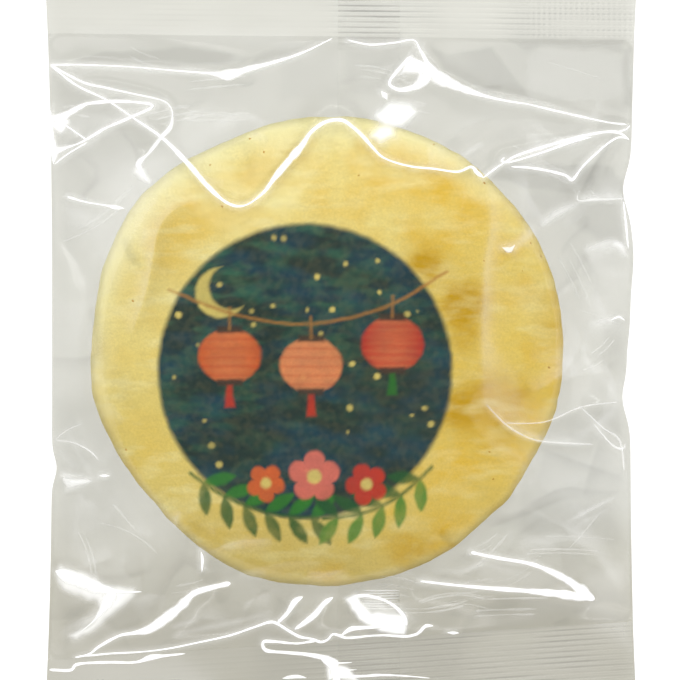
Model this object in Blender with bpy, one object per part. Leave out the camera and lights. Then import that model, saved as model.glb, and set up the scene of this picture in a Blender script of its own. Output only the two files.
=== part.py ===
"""Rice cracker sealed in a clear flow-wrap bag, lying flat with its printed side up.

The bag hides nothing, but it is shut, so bag and cracker are modelled as the one solid that they fill:
a loose film pillow over a round cracker, a crimped seal across each end, and the back seam folded flat
underneath. The film's creases run as ridges from the seals and the side folds to the cracker.

Sizes are millimetres and become metres where a vertex is made. X runs across the bag, Y runs along it
and Z is up. The origin is under the middle of the bag, at the height of the surface it lies on.
"""
import math

import bmesh
import bpy

MM = 0.001

# The cracker inside, which the film drapes over
CRACKER_CENTRE = (-2.0, -0.5)
CRACKER_RADIUS = 39.0
CRACKER_HEIGHT = 6.5

# The bag: its side folds, and the inner edge of each end seal as height at the middle and slope
HALF_WIDTH = 48.3
END_FLARE = 1.1
FLARE_LENGTH = 60.0
TOP_LINE = (51.85, -0.011)
BOTTOM_LINE = (-49.15, 0.0667)

# Dents and swellings of the side folds: Y, depth and half length
RIGHT_FOLD_DENTS = [(26.3, 1.3, 4.0), (14.8, -0.5, 5.0), (-1.4, 0.5, 4.0), (-8.5, 1.3, 4.0)]
LEFT_FOLD_DENTS = [(-20.2, 0.8, 2.5)]

# Crimped end seals: two layers of film pressed into ribs across the bag
RIB_STEP = 0.45
RIB_ROWS = 24
RIB_DEPTH = 0.12
SEAL_HEIGHT = 2.3
SEAL_WAVE = 0.5
SEAL_WAVELENGTH = 62.0
SEAL_HALF_THICKNESS = 0.3

# Fin seal: the back seam, folded flat and pressed flush into the soft back along its whole length
FIN_LEFT = -0.5
FIN_RIGHT = 9.8
FIN_RECESS = 0.05
FIN_RIB_DEPTH = 0.1

# Heights of the film; the back lies flat on the ground under the cracker
FOLD_HEIGHT = 2.8
CORNER_BLEND = 5.0
FRONT_SLACK = 0.6
FRONT_BULGE = 1.25
BACK_RISE = 1.8
EDGE_FADE = 4.0
CREST_RADIUS = 1.2

# Creases: height, reach to each side, and the route from where it starts to where it dies out
CREASES = {
    "top_left_to_fin": (1.5, 3.0, [(-48.5, 47), (-34, 46.4), (-19.5, 44.9), (-10, 47.8), (-1.5, 51.5)]),
    "long_swoop": (1.8, 3.2, [(-48.5, 47), (-39, 41), (-29.5, 34.5), (-22, 26.5), (-17.5, 23.6),
                              (-11, 28), (-5.5, 35), (0, 37.4), (6, 32), (15, 29.5), (23.5, 28)]),
    "left_hook": (1.2, 2.4, [(-45, 44.5), (-34, 41.8), (-28.5, 39.5), (-29.5, 35), (-33.5, 29.5)]),
    "crown": (1.7, 3.0, [(1.5, 51.3), (9, 51), (13, 49.6), (18, 44), (25, 41.6), (36, 39), (48, 37)]),
    "crown_peak": (1.3, 2.6, [(12, 50), (9, 45.5), (10.5, 43), (14.5, 45.5)]),
    "right_shoulder": (1.6, 2.8, [(23.5, 28), (27, 30.4), (36, 33), (45, 35.6), (48.5, 34.5)]),
    "shoulder_fold": (1.1, 2.2, [(28.5, 30), (35, 29.2), (39, 28.3), (43, 32.5), (48, 35)]),
    "right_hip": (1.4, 2.8, [(24, 1), (24, -9.5), (28, -13), (34, -15.6), (47, -16.5)]),
    "hip_fold": (1.1, 2.4, [(28.5, -12.5), (36, -11.5), (41, -9.4), (46.5, -9)]),
    "right_corner_upper": (1.3, 3.0, [(21.5, -34), (30, -35.8), (37, -38.4), (43, -42.3)]),
    "right_corner_lower": (1.3, 2.8, [(13, -39), (23, -40.2), (33, -40.5), (43, -42.3)]),
    "left_corner_upper": (1.7, 3.0, [(-47.5, -38), (-42, -39.4), (-33.5, -40.5)]),
    "left_corner_lower": (1.7, 3.0, [(-44, -51.3), (-35, -48), (-28, -44), (-24, -40.6), (-18.5, -39.5)]),
    "bottom_wave": (1.2, 2.8, [(-38, -50.6), (-28, -50), (-17, -47.6), (-11.5, -45.7), (-5, -48)]),
}

# Mesh steps: fine cells across and along the front, every second one on the back
FINE_COLUMNS = 48
FINE_ROWS = 50
FIN_FIRST_COLUMN = 24
FIN_LAST_COLUMN = 28
FIN_ROWS_PER_CELL = 9

FILM_COLOUR = (0.78, 0.77, 0.72, 1.0)
FILM_ROUGHNESS = 0.25


def clear_scene():
    for obj in list(bpy.data.objects):
        bpy.data.objects.remove(obj, do_unlink=True)


def mix(a, b, t):
    return a + (b - a) * t


def bump(distance, half_length):
    return math.exp(-(distance / half_length) ** 2)


def fold_x(y, side, dents):
    """X of a side fold at height y: it flares to the seals and is dented where creases reach it."""
    reach = HALF_WIDTH + END_FLARE * abs(y / FLARE_LENGTH) ** 3
    for dent_y, depth, half_length in dents:
        reach -= depth * bump(y - dent_y, half_length)
    return side * reach


def left_x(y):
    return fold_x(y, -1.0, LEFT_FOLD_DENTS)


def right_x(y):
    return fold_x(y, 1.0, RIGHT_FOLD_DENTS)


def seal_y(line, x):
    middle, slope = line
    return middle + slope * x


def seal_middle_z(x):
    """Height of the end seals' middle, which waves a little across the bag."""
    return SEAL_HEIGHT + SEAL_WAVE * math.sin(2.0 * math.pi * x / SEAL_WAVELENGTH + 0.6)


def smooth_min(a, b, softness):
    """The lesser of two distances, with the corner between them rounded off."""
    overlap = max(softness - abs(a - b), 0.0) / softness
    return min(a, b) - overlap * overlap * softness * 0.25


def distance_to_route(x, y, route):
    """Distance to a crease, and how far along it the nearest point lies, from 0 to 1."""
    nearest, along = 1e9, 0.0
    spans = len(route) - 1
    for index in range(spans):
        ax, ay = route[index]
        bx, by = route[index + 1]
        dx, dy = bx - ax, by - ay
        t = ((x - ax) * dx + (y - ay) * dy) / (dx * dx + dy * dy)
        t = min(max(t, 0.0), 1.0)
        distance = math.hypot(x - ax - dx * t, y - ay - dy * t)
        if distance < nearest:
            nearest, along = distance, (index + t) / spans
    return nearest, along


def crease_height(x, y):
    """Sum of the ridges that the creases raise, each dying out at its far end."""
    total = 0.0
    for height, reach, route in CREASES.values():
        distance, along = distance_to_route(x, y, route)
        if distance < 6.0 * reach:
            rounded = math.hypot(distance, CREST_RADIUS) - CREST_RADIUS
            total += height * math.exp(-rounded / reach) * min(1.0, (1.0 - along) * 4.0 + 0.15)
    return total


def edge_distances(x, y):
    """Distance to the nearest end seal, and to the nearest edge of the pillow."""
    to_fold = min(x - left_x(y), right_x(y) - x)
    to_seal = min(y - seal_y(BOTTOM_LINE, x), seal_y(TOP_LINE, x) - y)
    to_fold, to_seal = max(to_fold, 0.0), max(to_seal, 0.0)
    return to_seal, max(smooth_min(to_fold, to_seal, 3.0), 0.0)


def edge_z(x, to_seal):
    """Height where front and back film meet: the seal's at the ends, the fold's along the sides."""
    return mix(FOLD_HEIGHT, seal_middle_z(x), math.exp(-to_seal / CORNER_BLEND))


def share_of_way_in(x, y, to_edge):
    """0 at the edge of the pillow, 1 over the cracker."""
    cx, cy = CRACKER_CENTRE
    to_cracker = max(math.hypot(x - cx, y - cy) - CRACKER_RADIUS + 1.5, 0.0)
    return to_edge / max(to_edge + to_cracker, 1e-6)


def front_z(x, y):
    to_seal, to_edge = edge_distances(x, y)
    low = edge_z(x, to_seal) + SEAL_HALF_THICKNESS
    high = CRACKER_HEIGHT + FRONT_SLACK
    rise = 1.0 - (1.0 - share_of_way_in(x, y, to_edge)) ** FRONT_BULGE
    fade = 1.0 - math.exp(-to_edge / EDGE_FADE)
    return mix(low, high, rise) + fade * crease_height(x, y)


def back_z(x, y):
    to_seal, to_edge = edge_distances(x, y)
    high = edge_z(x, to_seal) - SEAL_HALF_THICKNESS
    return high * (1.0 - share_of_way_in(x, y, to_edge)) ** BACK_RISE


def column_share(column):
    """Share of the bag's width at a fine column; the fin seal's edges each fall on one."""
    fin_left = (FIN_LEFT + HALF_WIDTH) / (2.0 * HALF_WIDTH)
    fin_right = (FIN_RIGHT + HALF_WIDTH) / (2.0 * HALF_WIDTH)
    if column <= FIN_FIRST_COLUMN:
        return fin_left * column / FIN_FIRST_COLUMN
    if column >= FIN_LAST_COLUMN:
        return mix(fin_right, 1.0, (column - FIN_LAST_COLUMN) / (FINE_COLUMNS - FIN_LAST_COLUMN))
    return mix(fin_left, fin_right, (column - FIN_FIRST_COLUMN) / (FIN_LAST_COLUMN - FIN_FIRST_COLUMN))


def pillow_point(column, row):
    """X and Y of the pillow's grid; rows may be fractions."""
    share = column_share(column)
    straight_x = mix(-HALF_WIDTH, HALF_WIDTH, share)
    y = mix(seal_y(BOTTOM_LINE, straight_x), seal_y(TOP_LINE, straight_x), row / FINE_ROWS)
    return mix(left_x(y), right_x(y), share), y


def seal_point(column, rib_row, top):
    """X and Y of an end seal's grid, counted outwards from its inner edge."""
    share = column_share(column)
    straight_x = mix(-HALF_WIDTH, HALF_WIDTH, share)
    reach = rib_row * RIB_STEP
    if top:
        y = seal_y(TOP_LINE, straight_x) + reach
    else:
        y = seal_y(BOTTOM_LINE, straight_x) - reach
    return mix(left_x(y), right_x(y), share), y


def rib(row, depth):
    """Crests on even rows and troughs on odd ones."""
    return depth if row % 2 == 0 else -depth


class Shell:
    """Vertices by name and the faces between them, for one closed body."""

    def __init__(self):
        self.mesh = bmesh.new()
        self.vertices = {}

    def add(self, key, x, y, z):
        self.vertices[key] = self.mesh.verts.new((x * MM, y * MM, z * MM))

    def face(self, *keys):
        self.mesh.faces.new([self.vertices[key] for key in keys])


def add_pillow_vertices(shell):
    for column in range(FINE_COLUMNS + 1):
        for row in range(FINE_ROWS + 1):
            x, y = pillow_point(column, row)
            shell.add(("front", column, row), x, y, front_z(x, y))
            on_fold = column in (0, FINE_COLUMNS)
            if on_fold or (column % 2 == 0 and row % 2 == 0):
                shell.add(("back", column, row), x, y, back_z(x, y))


def add_seal_vertices(shell, top):
    """Both faces of a seal follow the same ribs, so the pressed film keeps its thickness."""
    for column in range(0, FINE_COLUMNS + 1, 2):
        for row in range(1, RIB_ROWS + 1):
            x, y = seal_point(column, row, top)
            middle = seal_middle_z(x) + rib(row, RIB_DEPTH)
            shell.add(("seal front", top, column, row), x, y, middle + SEAL_HALF_THICKNESS)
            shell.add(("seal back", top, column, row), x, y, middle - SEAL_HALF_THICKNESS)


def add_fin_vertices(shell):
    """The fin seal's under side: ribbed across, and a touch higher than the bag's back beside it."""
    fin_rows = FINE_ROWS // 2 * FIN_ROWS_PER_CELL
    middle = FIN_RECESS + FIN_RIB_DEPTH
    for column in (FIN_FIRST_COLUMN, FIN_LAST_COLUMN):
        for row in range(fin_rows + 1):
            x, y = pillow_point(column, 2.0 * row / FIN_ROWS_PER_CELL)
            shell.add(("fin", column, row), x, y, back_z(x, y) + middle + rib(row, FIN_RIB_DEPTH))
        for top in (False, True):
            for row in range(1, RIB_ROWS + 1):
                x, y = seal_point(column, row, top)
                bottom = seal_middle_z(x) + rib(row, RIB_DEPTH) - SEAL_HALF_THICKNESS
                shell.add(("seal fin", top, column, row), x, y, bottom + middle)


def front(top, column, row):
    """A seal's front vertex; its first row is the pillow's last."""
    if row == 0:
        return "front", column, FINE_ROWS if top else 0
    return "seal front", top, column, row


def back(top, column, row):
    if row == 0:
        return "back", column, FINE_ROWS if top else 0
    return "seal back", top, column, row


def fin(top, column, row):
    if row == 0:
        return "fin", column, FINE_ROWS // 2 * FIN_ROWS_PER_CELL if top else 0
    return "seal fin", top, column, row


def add_pillow_faces(shell):
    for column in range(FINE_COLUMNS):
        for row in range(FINE_ROWS):
            shell.face(("front", column, row), ("front", column + 1, row),
                       ("front", column + 1, row + 1), ("front", column, row + 1))
    for column in range(0, FINE_COLUMNS, 2):
        if FIN_FIRST_COLUMN <= column < FIN_LAST_COLUMN:
            continue
        for row in range(0, FINE_ROWS, 2):
            corners = [("back", column, row), ("back", column, row + 2),
                       ("back", column + 2, row + 2), ("back", column + 2, row)]
            if column == 0:
                corners.insert(1, ("back", 0, row + 1))
            if column + 2 == FINE_COLUMNS:
                corners.insert(3, ("back", FINE_COLUMNS, row + 1))
            shell.face(*corners)
    for column in (0, FINE_COLUMNS):
        for row in range(FINE_ROWS):
            shell.face(("front", column, row), ("front", column, row + 1),
                       ("back", column, row + 1), ("back", column, row))


def add_fin_faces(shell):
    """The strip itself, and the low wall at each side of it, one face to a cell of the back."""
    for row in range(FINE_ROWS // 2 * FIN_ROWS_PER_CELL):
        shell.face(("fin", FIN_FIRST_COLUMN, row), ("fin", FIN_FIRST_COLUMN, row + 1),
                   ("fin", FIN_LAST_COLUMN, row + 1), ("fin", FIN_LAST_COLUMN, row))
    for column in (FIN_FIRST_COLUMN, FIN_LAST_COLUMN):
        for cell in range(FINE_ROWS // 2):
            first = cell * FIN_ROWS_PER_CELL
            ribs = [("fin", column, first + step) for step in range(FIN_ROWS_PER_CELL + 1)]
            shell.face(("back", column, 2 * cell + 2), ("back", column, 2 * cell), *ribs)


def add_seal_faces(shell, top):
    for row in range(RIB_ROWS):
        for column in range(0, FINE_COLUMNS, 2):
            loop = [front(top, column, row), front(top, column + 2, row),
                    front(top, column + 2, row + 1), front(top, column, row + 1)]
            if row == 0:
                loop.insert(1, front(top, column + 1, row))
            shell.face(*loop)
            if not FIN_FIRST_COLUMN <= column < FIN_LAST_COLUMN:
                shell.face(back(top, column, row), back(top, column + 2, row),
                           back(top, column + 2, row + 1), back(top, column, row + 1))
        for column in (0, FINE_COLUMNS):
            shell.face(front(top, column, row), front(top, column, row + 1),
                       back(top, column, row + 1), back(top, column, row))
        for column in (FIN_FIRST_COLUMN, FIN_LAST_COLUMN):
            shell.face(back(top, column, row), back(top, column, row + 1),
                       fin(top, column, row + 1), fin(top, column, row))
        shell.face(fin(top, FIN_FIRST_COLUMN, row), fin(top, FIN_LAST_COLUMN, row),
                   fin(top, FIN_LAST_COLUMN, row + 1), fin(top, FIN_FIRST_COLUMN, row + 1))
    add_cut_edge(shell, top)


def add_cut_edge(shell, top):
    """The seal's outer end, with one face across the fin's width."""
    for column in range(0, FINE_COLUMNS, 2):
        if FIN_FIRST_COLUMN <= column < FIN_LAST_COLUMN:
            continue
        shell.face(front(top, column, RIB_ROWS), front(top, column + 2, RIB_ROWS),
                   back(top, column + 2, RIB_ROWS), back(top, column, RIB_ROWS))
    across = [front(top, column, RIB_ROWS) for column in range(FIN_FIRST_COLUMN, FIN_LAST_COLUMN + 1, 2)]
    shell.face(*across, back(top, FIN_LAST_COLUMN, RIB_ROWS), fin(top, FIN_LAST_COLUMN, RIB_ROWS),
               fin(top, FIN_FIRST_COLUMN, RIB_ROWS), back(top, FIN_FIRST_COLUMN, RIB_ROWS))


def film_material():
    material = bpy.data.materials.new("film")
    material.use_nodes = True
    shader = material.node_tree.nodes["Principled BSDF"]
    shader.inputs["Base Color"].default_value = FILM_COLOUR
    shader.inputs["Roughness"].default_value = FILM_ROUGHNESS
    shader.inputs["Metallic"].default_value = 0.0
    return material


def build_pack():
    shell = Shell()
    add_pillow_vertices(shell)
    add_fin_vertices(shell)
    for top in (False, True):
        add_seal_vertices(shell, top)
    add_pillow_faces(shell)
    add_fin_faces(shell)
    for top in (False, True):
        add_seal_faces(shell, top)
    bmesh.ops.recalc_face_normals(shell.mesh, faces=shell.mesh.faces[:])
    mesh = bpy.data.meshes.new("cracker_pack")
    shell.mesh.to_mesh(mesh)
    shell.mesh.free()
    mesh.shade_smooth()
    mesh.set_sharp_from_angle(angle=math.radians(30.0))
    mesh.materials.append(film_material())
    pack = bpy.data.objects.new("cracker_pack", mesh)
    bpy.context.scene.collection.objects.link(pack)
    return pack


clear_scene()
build_pack()
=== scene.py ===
# %% [markdown]
# # A rice cracker in a clear film bag
# A round, pale rice cracker with a printed picture lies in a flow-wrap bag of clear film, seen from above.
# The construction gives one closed solid for the whole pack. Here that solid gives way to what fills it:
# the thin film, front and back, its two crimped end seals, the back seam, and the cracker inside.
# Every length below is in millimetres and becomes metres where a mesh is made.

# %% The frame
import math

import bmesh
import bpy
import numpy as np
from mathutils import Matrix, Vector


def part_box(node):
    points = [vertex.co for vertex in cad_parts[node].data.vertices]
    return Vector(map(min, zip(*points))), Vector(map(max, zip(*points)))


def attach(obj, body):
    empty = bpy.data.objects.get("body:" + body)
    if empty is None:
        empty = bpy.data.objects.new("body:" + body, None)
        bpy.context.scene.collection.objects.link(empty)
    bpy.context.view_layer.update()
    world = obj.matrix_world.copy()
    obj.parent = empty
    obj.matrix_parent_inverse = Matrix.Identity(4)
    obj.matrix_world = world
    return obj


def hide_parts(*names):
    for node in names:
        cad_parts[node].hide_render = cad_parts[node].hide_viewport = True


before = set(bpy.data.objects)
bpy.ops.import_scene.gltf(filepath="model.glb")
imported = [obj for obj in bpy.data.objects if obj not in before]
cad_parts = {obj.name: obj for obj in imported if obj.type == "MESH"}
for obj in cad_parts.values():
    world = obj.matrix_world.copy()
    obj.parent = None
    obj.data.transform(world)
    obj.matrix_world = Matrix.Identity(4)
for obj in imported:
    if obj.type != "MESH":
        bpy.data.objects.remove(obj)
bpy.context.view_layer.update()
MM = 0.001
PACK = "cracker_pack"
pack_low, pack_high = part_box(PACK)
print("pack, mm:", [round(side / MM, 1) for side in pack_high - pack_low])

# %% [markdown]
# ## Camera
# The photograph looks straight down from far enough away that upright walls hardly show. A long lens
# does the same. The picture is 680 pixels wide and one millimetre is 6 pixels, so at the height of the
# film's edge the camera sees a square of 113.3 mm. Its middle lies a little off the pack's.

# %% Camera
PIXELS = 680
PIXELS_PER_MM = 6.0
VIEW_CENTRE = (-0.2, 1.15)
CAMERA_HEIGHT = 620.0
SHARP_HEIGHT = 4.0
SENSOR = 36.0

lens = bpy.data.cameras.new("camera")
lens.sensor_width = SENSOR
lens.lens = SENSOR * (CAMERA_HEIGHT - SHARP_HEIGHT) / (PIXELS / PIXELS_PER_MM)
lens.clip_start = 0.01
camera = bpy.data.objects.new("camera", lens)
camera.location = (VIEW_CENTRE[0] * MM, VIEW_CENTRE[1] * MM, CAMERA_HEIGHT * MM)
bpy.context.scene.collection.objects.link(camera)
bpy.context.scene.camera = camera
bpy.context.scene.view_settings.view_transform = "Standard"
print("lens, mm:", round(lens.lens, 1))

# %% [markdown]
# ## Nodes
# A material, the light of a room and a modelling tree are all built of nodes. Each node has settings and
# inputs, and an input holds a value or is linked to another node's output. They could be drawn by hand in
# an editor. The helpers here write a node in one line, so that a tree below reads like a recipe.

# %% Helpers for nodes
def fill(tree, node, inputs):
    """Fills inputs by their label or number: an output is linked, anything else is a value."""
    for label, value in inputs.items():
        if isinstance(value, bpy.types.NodeSocket):
            tree.links.new(value, node.inputs[label])
        else:
            node.inputs[label].default_value = value
    return node


def add_node(tree, kind, inputs={}, **settings):
    node = tree.nodes.new(kind)
    for label, value in settings.items():
        setattr(node, label, value)
    return fill(tree, node, inputs)


def link_math(tree, operation, *values):
    """A maths node whose inputs are each a socket or a number."""
    return add_node(tree, "ShaderNodeMath", dict(enumerate(values)), operation=operation).outputs[0]


def scaled(tree, vector, factor):
    """A vector or a colour times a number."""
    return add_node(tree, "ShaderNodeVectorMath", {0: vector, "Scale": factor}, operation="SCALE").outputs[0]


def smooth_step(tree, value, start, end):
    """Runs smoothly from 0 to 1 between start and end."""
    ends = {"Value": value, "From Min": start, "From Max": end}
    return add_node(tree, "ShaderNodeMapRange", ends, interpolation_type="SMOOTHSTEP").outputs["Result"]


def noise_node(tree, size, inputs, **settings):
    """Noise whose humps are about as wide as size."""
    scale = link_math(tree, "DIVIDE", 1.0, size)
    return add_node(tree, "ShaderNodeTexNoise", {"Scale": scale, **inputs}, **settings).outputs[0]


def new_group(name, kind, inputs, outputs):
    """A group with named sockets: the group itself, what comes in, and the node where it goes out."""
    group = bpy.data.node_groups.new(name, kind)
    for way, sockets in (("INPUT", inputs), ("OUTPUT", outputs)):
        for label, socket in sockets.items():
            group.interface.new_socket(label, in_out=way, socket_type="NodeSocket" + socket)
    return group, group.nodes.new("NodeGroupInput").outputs, group.nodes.new("NodeGroupOutput")


def new_material(name):
    material = bpy.data.materials.new(name)
    material.use_nodes = True
    return material, material.node_tree

# %% [markdown]
# ## Floor and light
# Clear film shows itself by what it mirrors. Over a white floor the flat film looks grey, because it
# swallows a little light and mirrors the dark ceiling round the camera. A bright ring of ceiling further
# out, brightest towards the top of the picture, lights the pack from high up. The white table glows too,
# so the cracker hardly throws a shadow. Long narrow lamps stand lower still: flat film never mirrors them,
# and a crease's steep flank always does.

# %% Floor and light
ROOM_LOW = 0.4
ROOM_HIGH = 2.6
RING_LEAN = 0.6  # how much brighter the ring is towards the top of the picture
TABLE_WHITE = (0.25, 0.25, 0.25)
TABLE_GLOW = 0.92
RING_OUTER = (0.64, 0.76)  # height of the direction where the ring begins, as the cosine off straight up
RING_INNER = (0.955, 0.985)
FLOOR_HALF = 1500.0
FLOOR_DROP = 0.05

STRIPS = {
    "upper": dict(place=(0.0, 600.0, 360.0), size=(640.0, 36.0), watts=0.35),
    "lower": dict(place=(60.0, -560.0, 400.0), size=(420.0, 26.0), watts=0.25),
    "left": dict(place=(-560.0, 80.0, 380.0), size=(20.0, 200.0), watts=0.15),
    "right": dict(place=(560.0, 140.0, 380.0), size=(20.0, 200.0), watts=0.15),
}
WHITE = (1.0, 1.0, 1.0, 1.0)


def table_material():
    """A white light table: part of what it sends out is its own glow."""
    material, tree = new_material("light_table")
    fill(tree, tree.nodes["Principled BSDF"], {
        "Base Color": (*TABLE_WHITE, 1.0), "Roughness": 1.0, "Specular IOR Level": 0.0,
        "Emission Color": WHITE, "Emission Strength": TABLE_GLOW})
    return material


def add_strip(name, place, size, watts):
    """A rectangular lamp that faces the middle of the pack."""
    lamp = bpy.data.lights.new(name, "AREA")
    lamp.shape = "RECTANGLE"
    lamp.size, lamp.size_y = size[0] * MM, size[1] * MM
    lamp.energy = watts
    holder = bpy.data.objects.new(name, lamp)
    holder.location = Vector(place) * MM
    holder.rotation_euler = (-holder.location).to_track_quat("-Z", "Y").to_euler()
    holder.visible_camera = False
    bpy.context.scene.collection.objects.link(holder)


def add_room():
    """A ceiling with a bright ring, and a glowing floor."""
    world = bpy.data.worlds.new("room")
    world.use_nodes = True
    tree = world.node_tree
    direction = add_node(tree, "ShaderNodeTexCoord").outputs["Generated"]
    parts = add_node(tree, "ShaderNodeSeparateXYZ", {0: direction}).outputs
    rising, falling = (smooth_step(tree, parts["Z"], *ends) for ends in (RING_OUTER, RING_INNER))
    ring = link_math(tree, "SUBTRACT", rising, falling)
    leaning = link_math(tree, "MULTIPLY_ADD", parts["Y"], RING_LEAN, 1.0)
    bright = link_math(tree, "MULTIPLY", ring, leaning)
    strength = link_math(tree, "MULTIPLY_ADD", bright, ROOM_HIGH - ROOM_LOW, ROOM_LOW)
    fill(tree, tree.nodes["Background"], {"Strength": strength, "Color": WHITE})
    bpy.context.scene.world = world
    mesh = bpy.data.meshes.new("floor")
    half, down = FLOOR_HALF * MM, -FLOOR_DROP * MM
    corners = [(-half, -half, down), (half, -half, down), (half, half, down), (-half, half, down)]
    mesh.from_pydata(corners, [], [(0, 1, 2, 3)])
    floor = bpy.data.objects.new("floor", mesh)
    bpy.context.scene.collection.objects.link(floor)
    mesh.materials.append(table_material())


add_room()
for strip_name, strip in STRIPS.items():
    add_strip(strip_name, **strip)
print("lamps:", list(STRIPS))

# %% [markdown]
# ## The bag's outline
# The side folds flare out to the end seals and are dented where big creases reach them. The lower seal
# runs slightly askew. These are the construction's own values, so film and solid share one outline.

# %% Outline of the bag
HALF_WIDTH = 48.3
END_FLARE = 1.1
FLARE_LENGTH = 60.0
TOP_LINE = (51.85, -0.011)
BOTTOM_LINE = (-49.15, 0.0667)
RIGHT_FOLD_DENTS = [(26.3, 1.3, 4.0), (14.8, -0.5, 5.0), (-1.4, 0.5, 4.0), (-8.5, 1.3, 4.0)]
LEFT_FOLD_DENTS = [(-20.2, 0.8, 2.5)]


def mix(a, b, t):
    return a + (b - a) * t


def unit(value):
    """Keeps a value between 0 and 1."""
    return np.clip(value, 0.0, 1.0)


def fold_x(y, side, dents):
    reach = HALF_WIDTH + END_FLARE * np.abs(y / FLARE_LENGTH) ** 3
    for dent_y, depth, half_length in dents:
        reach = reach - depth * np.exp(-((y - dent_y) / half_length) ** 2)
    return side * reach


def left_x(y):
    return fold_x(y, -1.0, LEFT_FOLD_DENTS)


def right_x(y):
    return fold_x(y, 1.0, RIGHT_FOLD_DENTS)


def seal_y(line, x):
    return line[0] + line[1] * x


def bag_point(across, along):
    """X and Y for shares of the bag's width and length, from 0 to 1."""
    straight_x = mix(-HALF_WIDTH, HALF_WIDTH, across)
    y = mix(seal_y(BOTTOM_LINE, straight_x), seal_y(TOP_LINE, straight_x), along)
    return mix(left_x(y), right_x(y), across), y


print("bag between its seals, mm:", round(seal_y(TOP_LINE, 0) - seal_y(BOTTOM_LINE, 0), 1))
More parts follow.
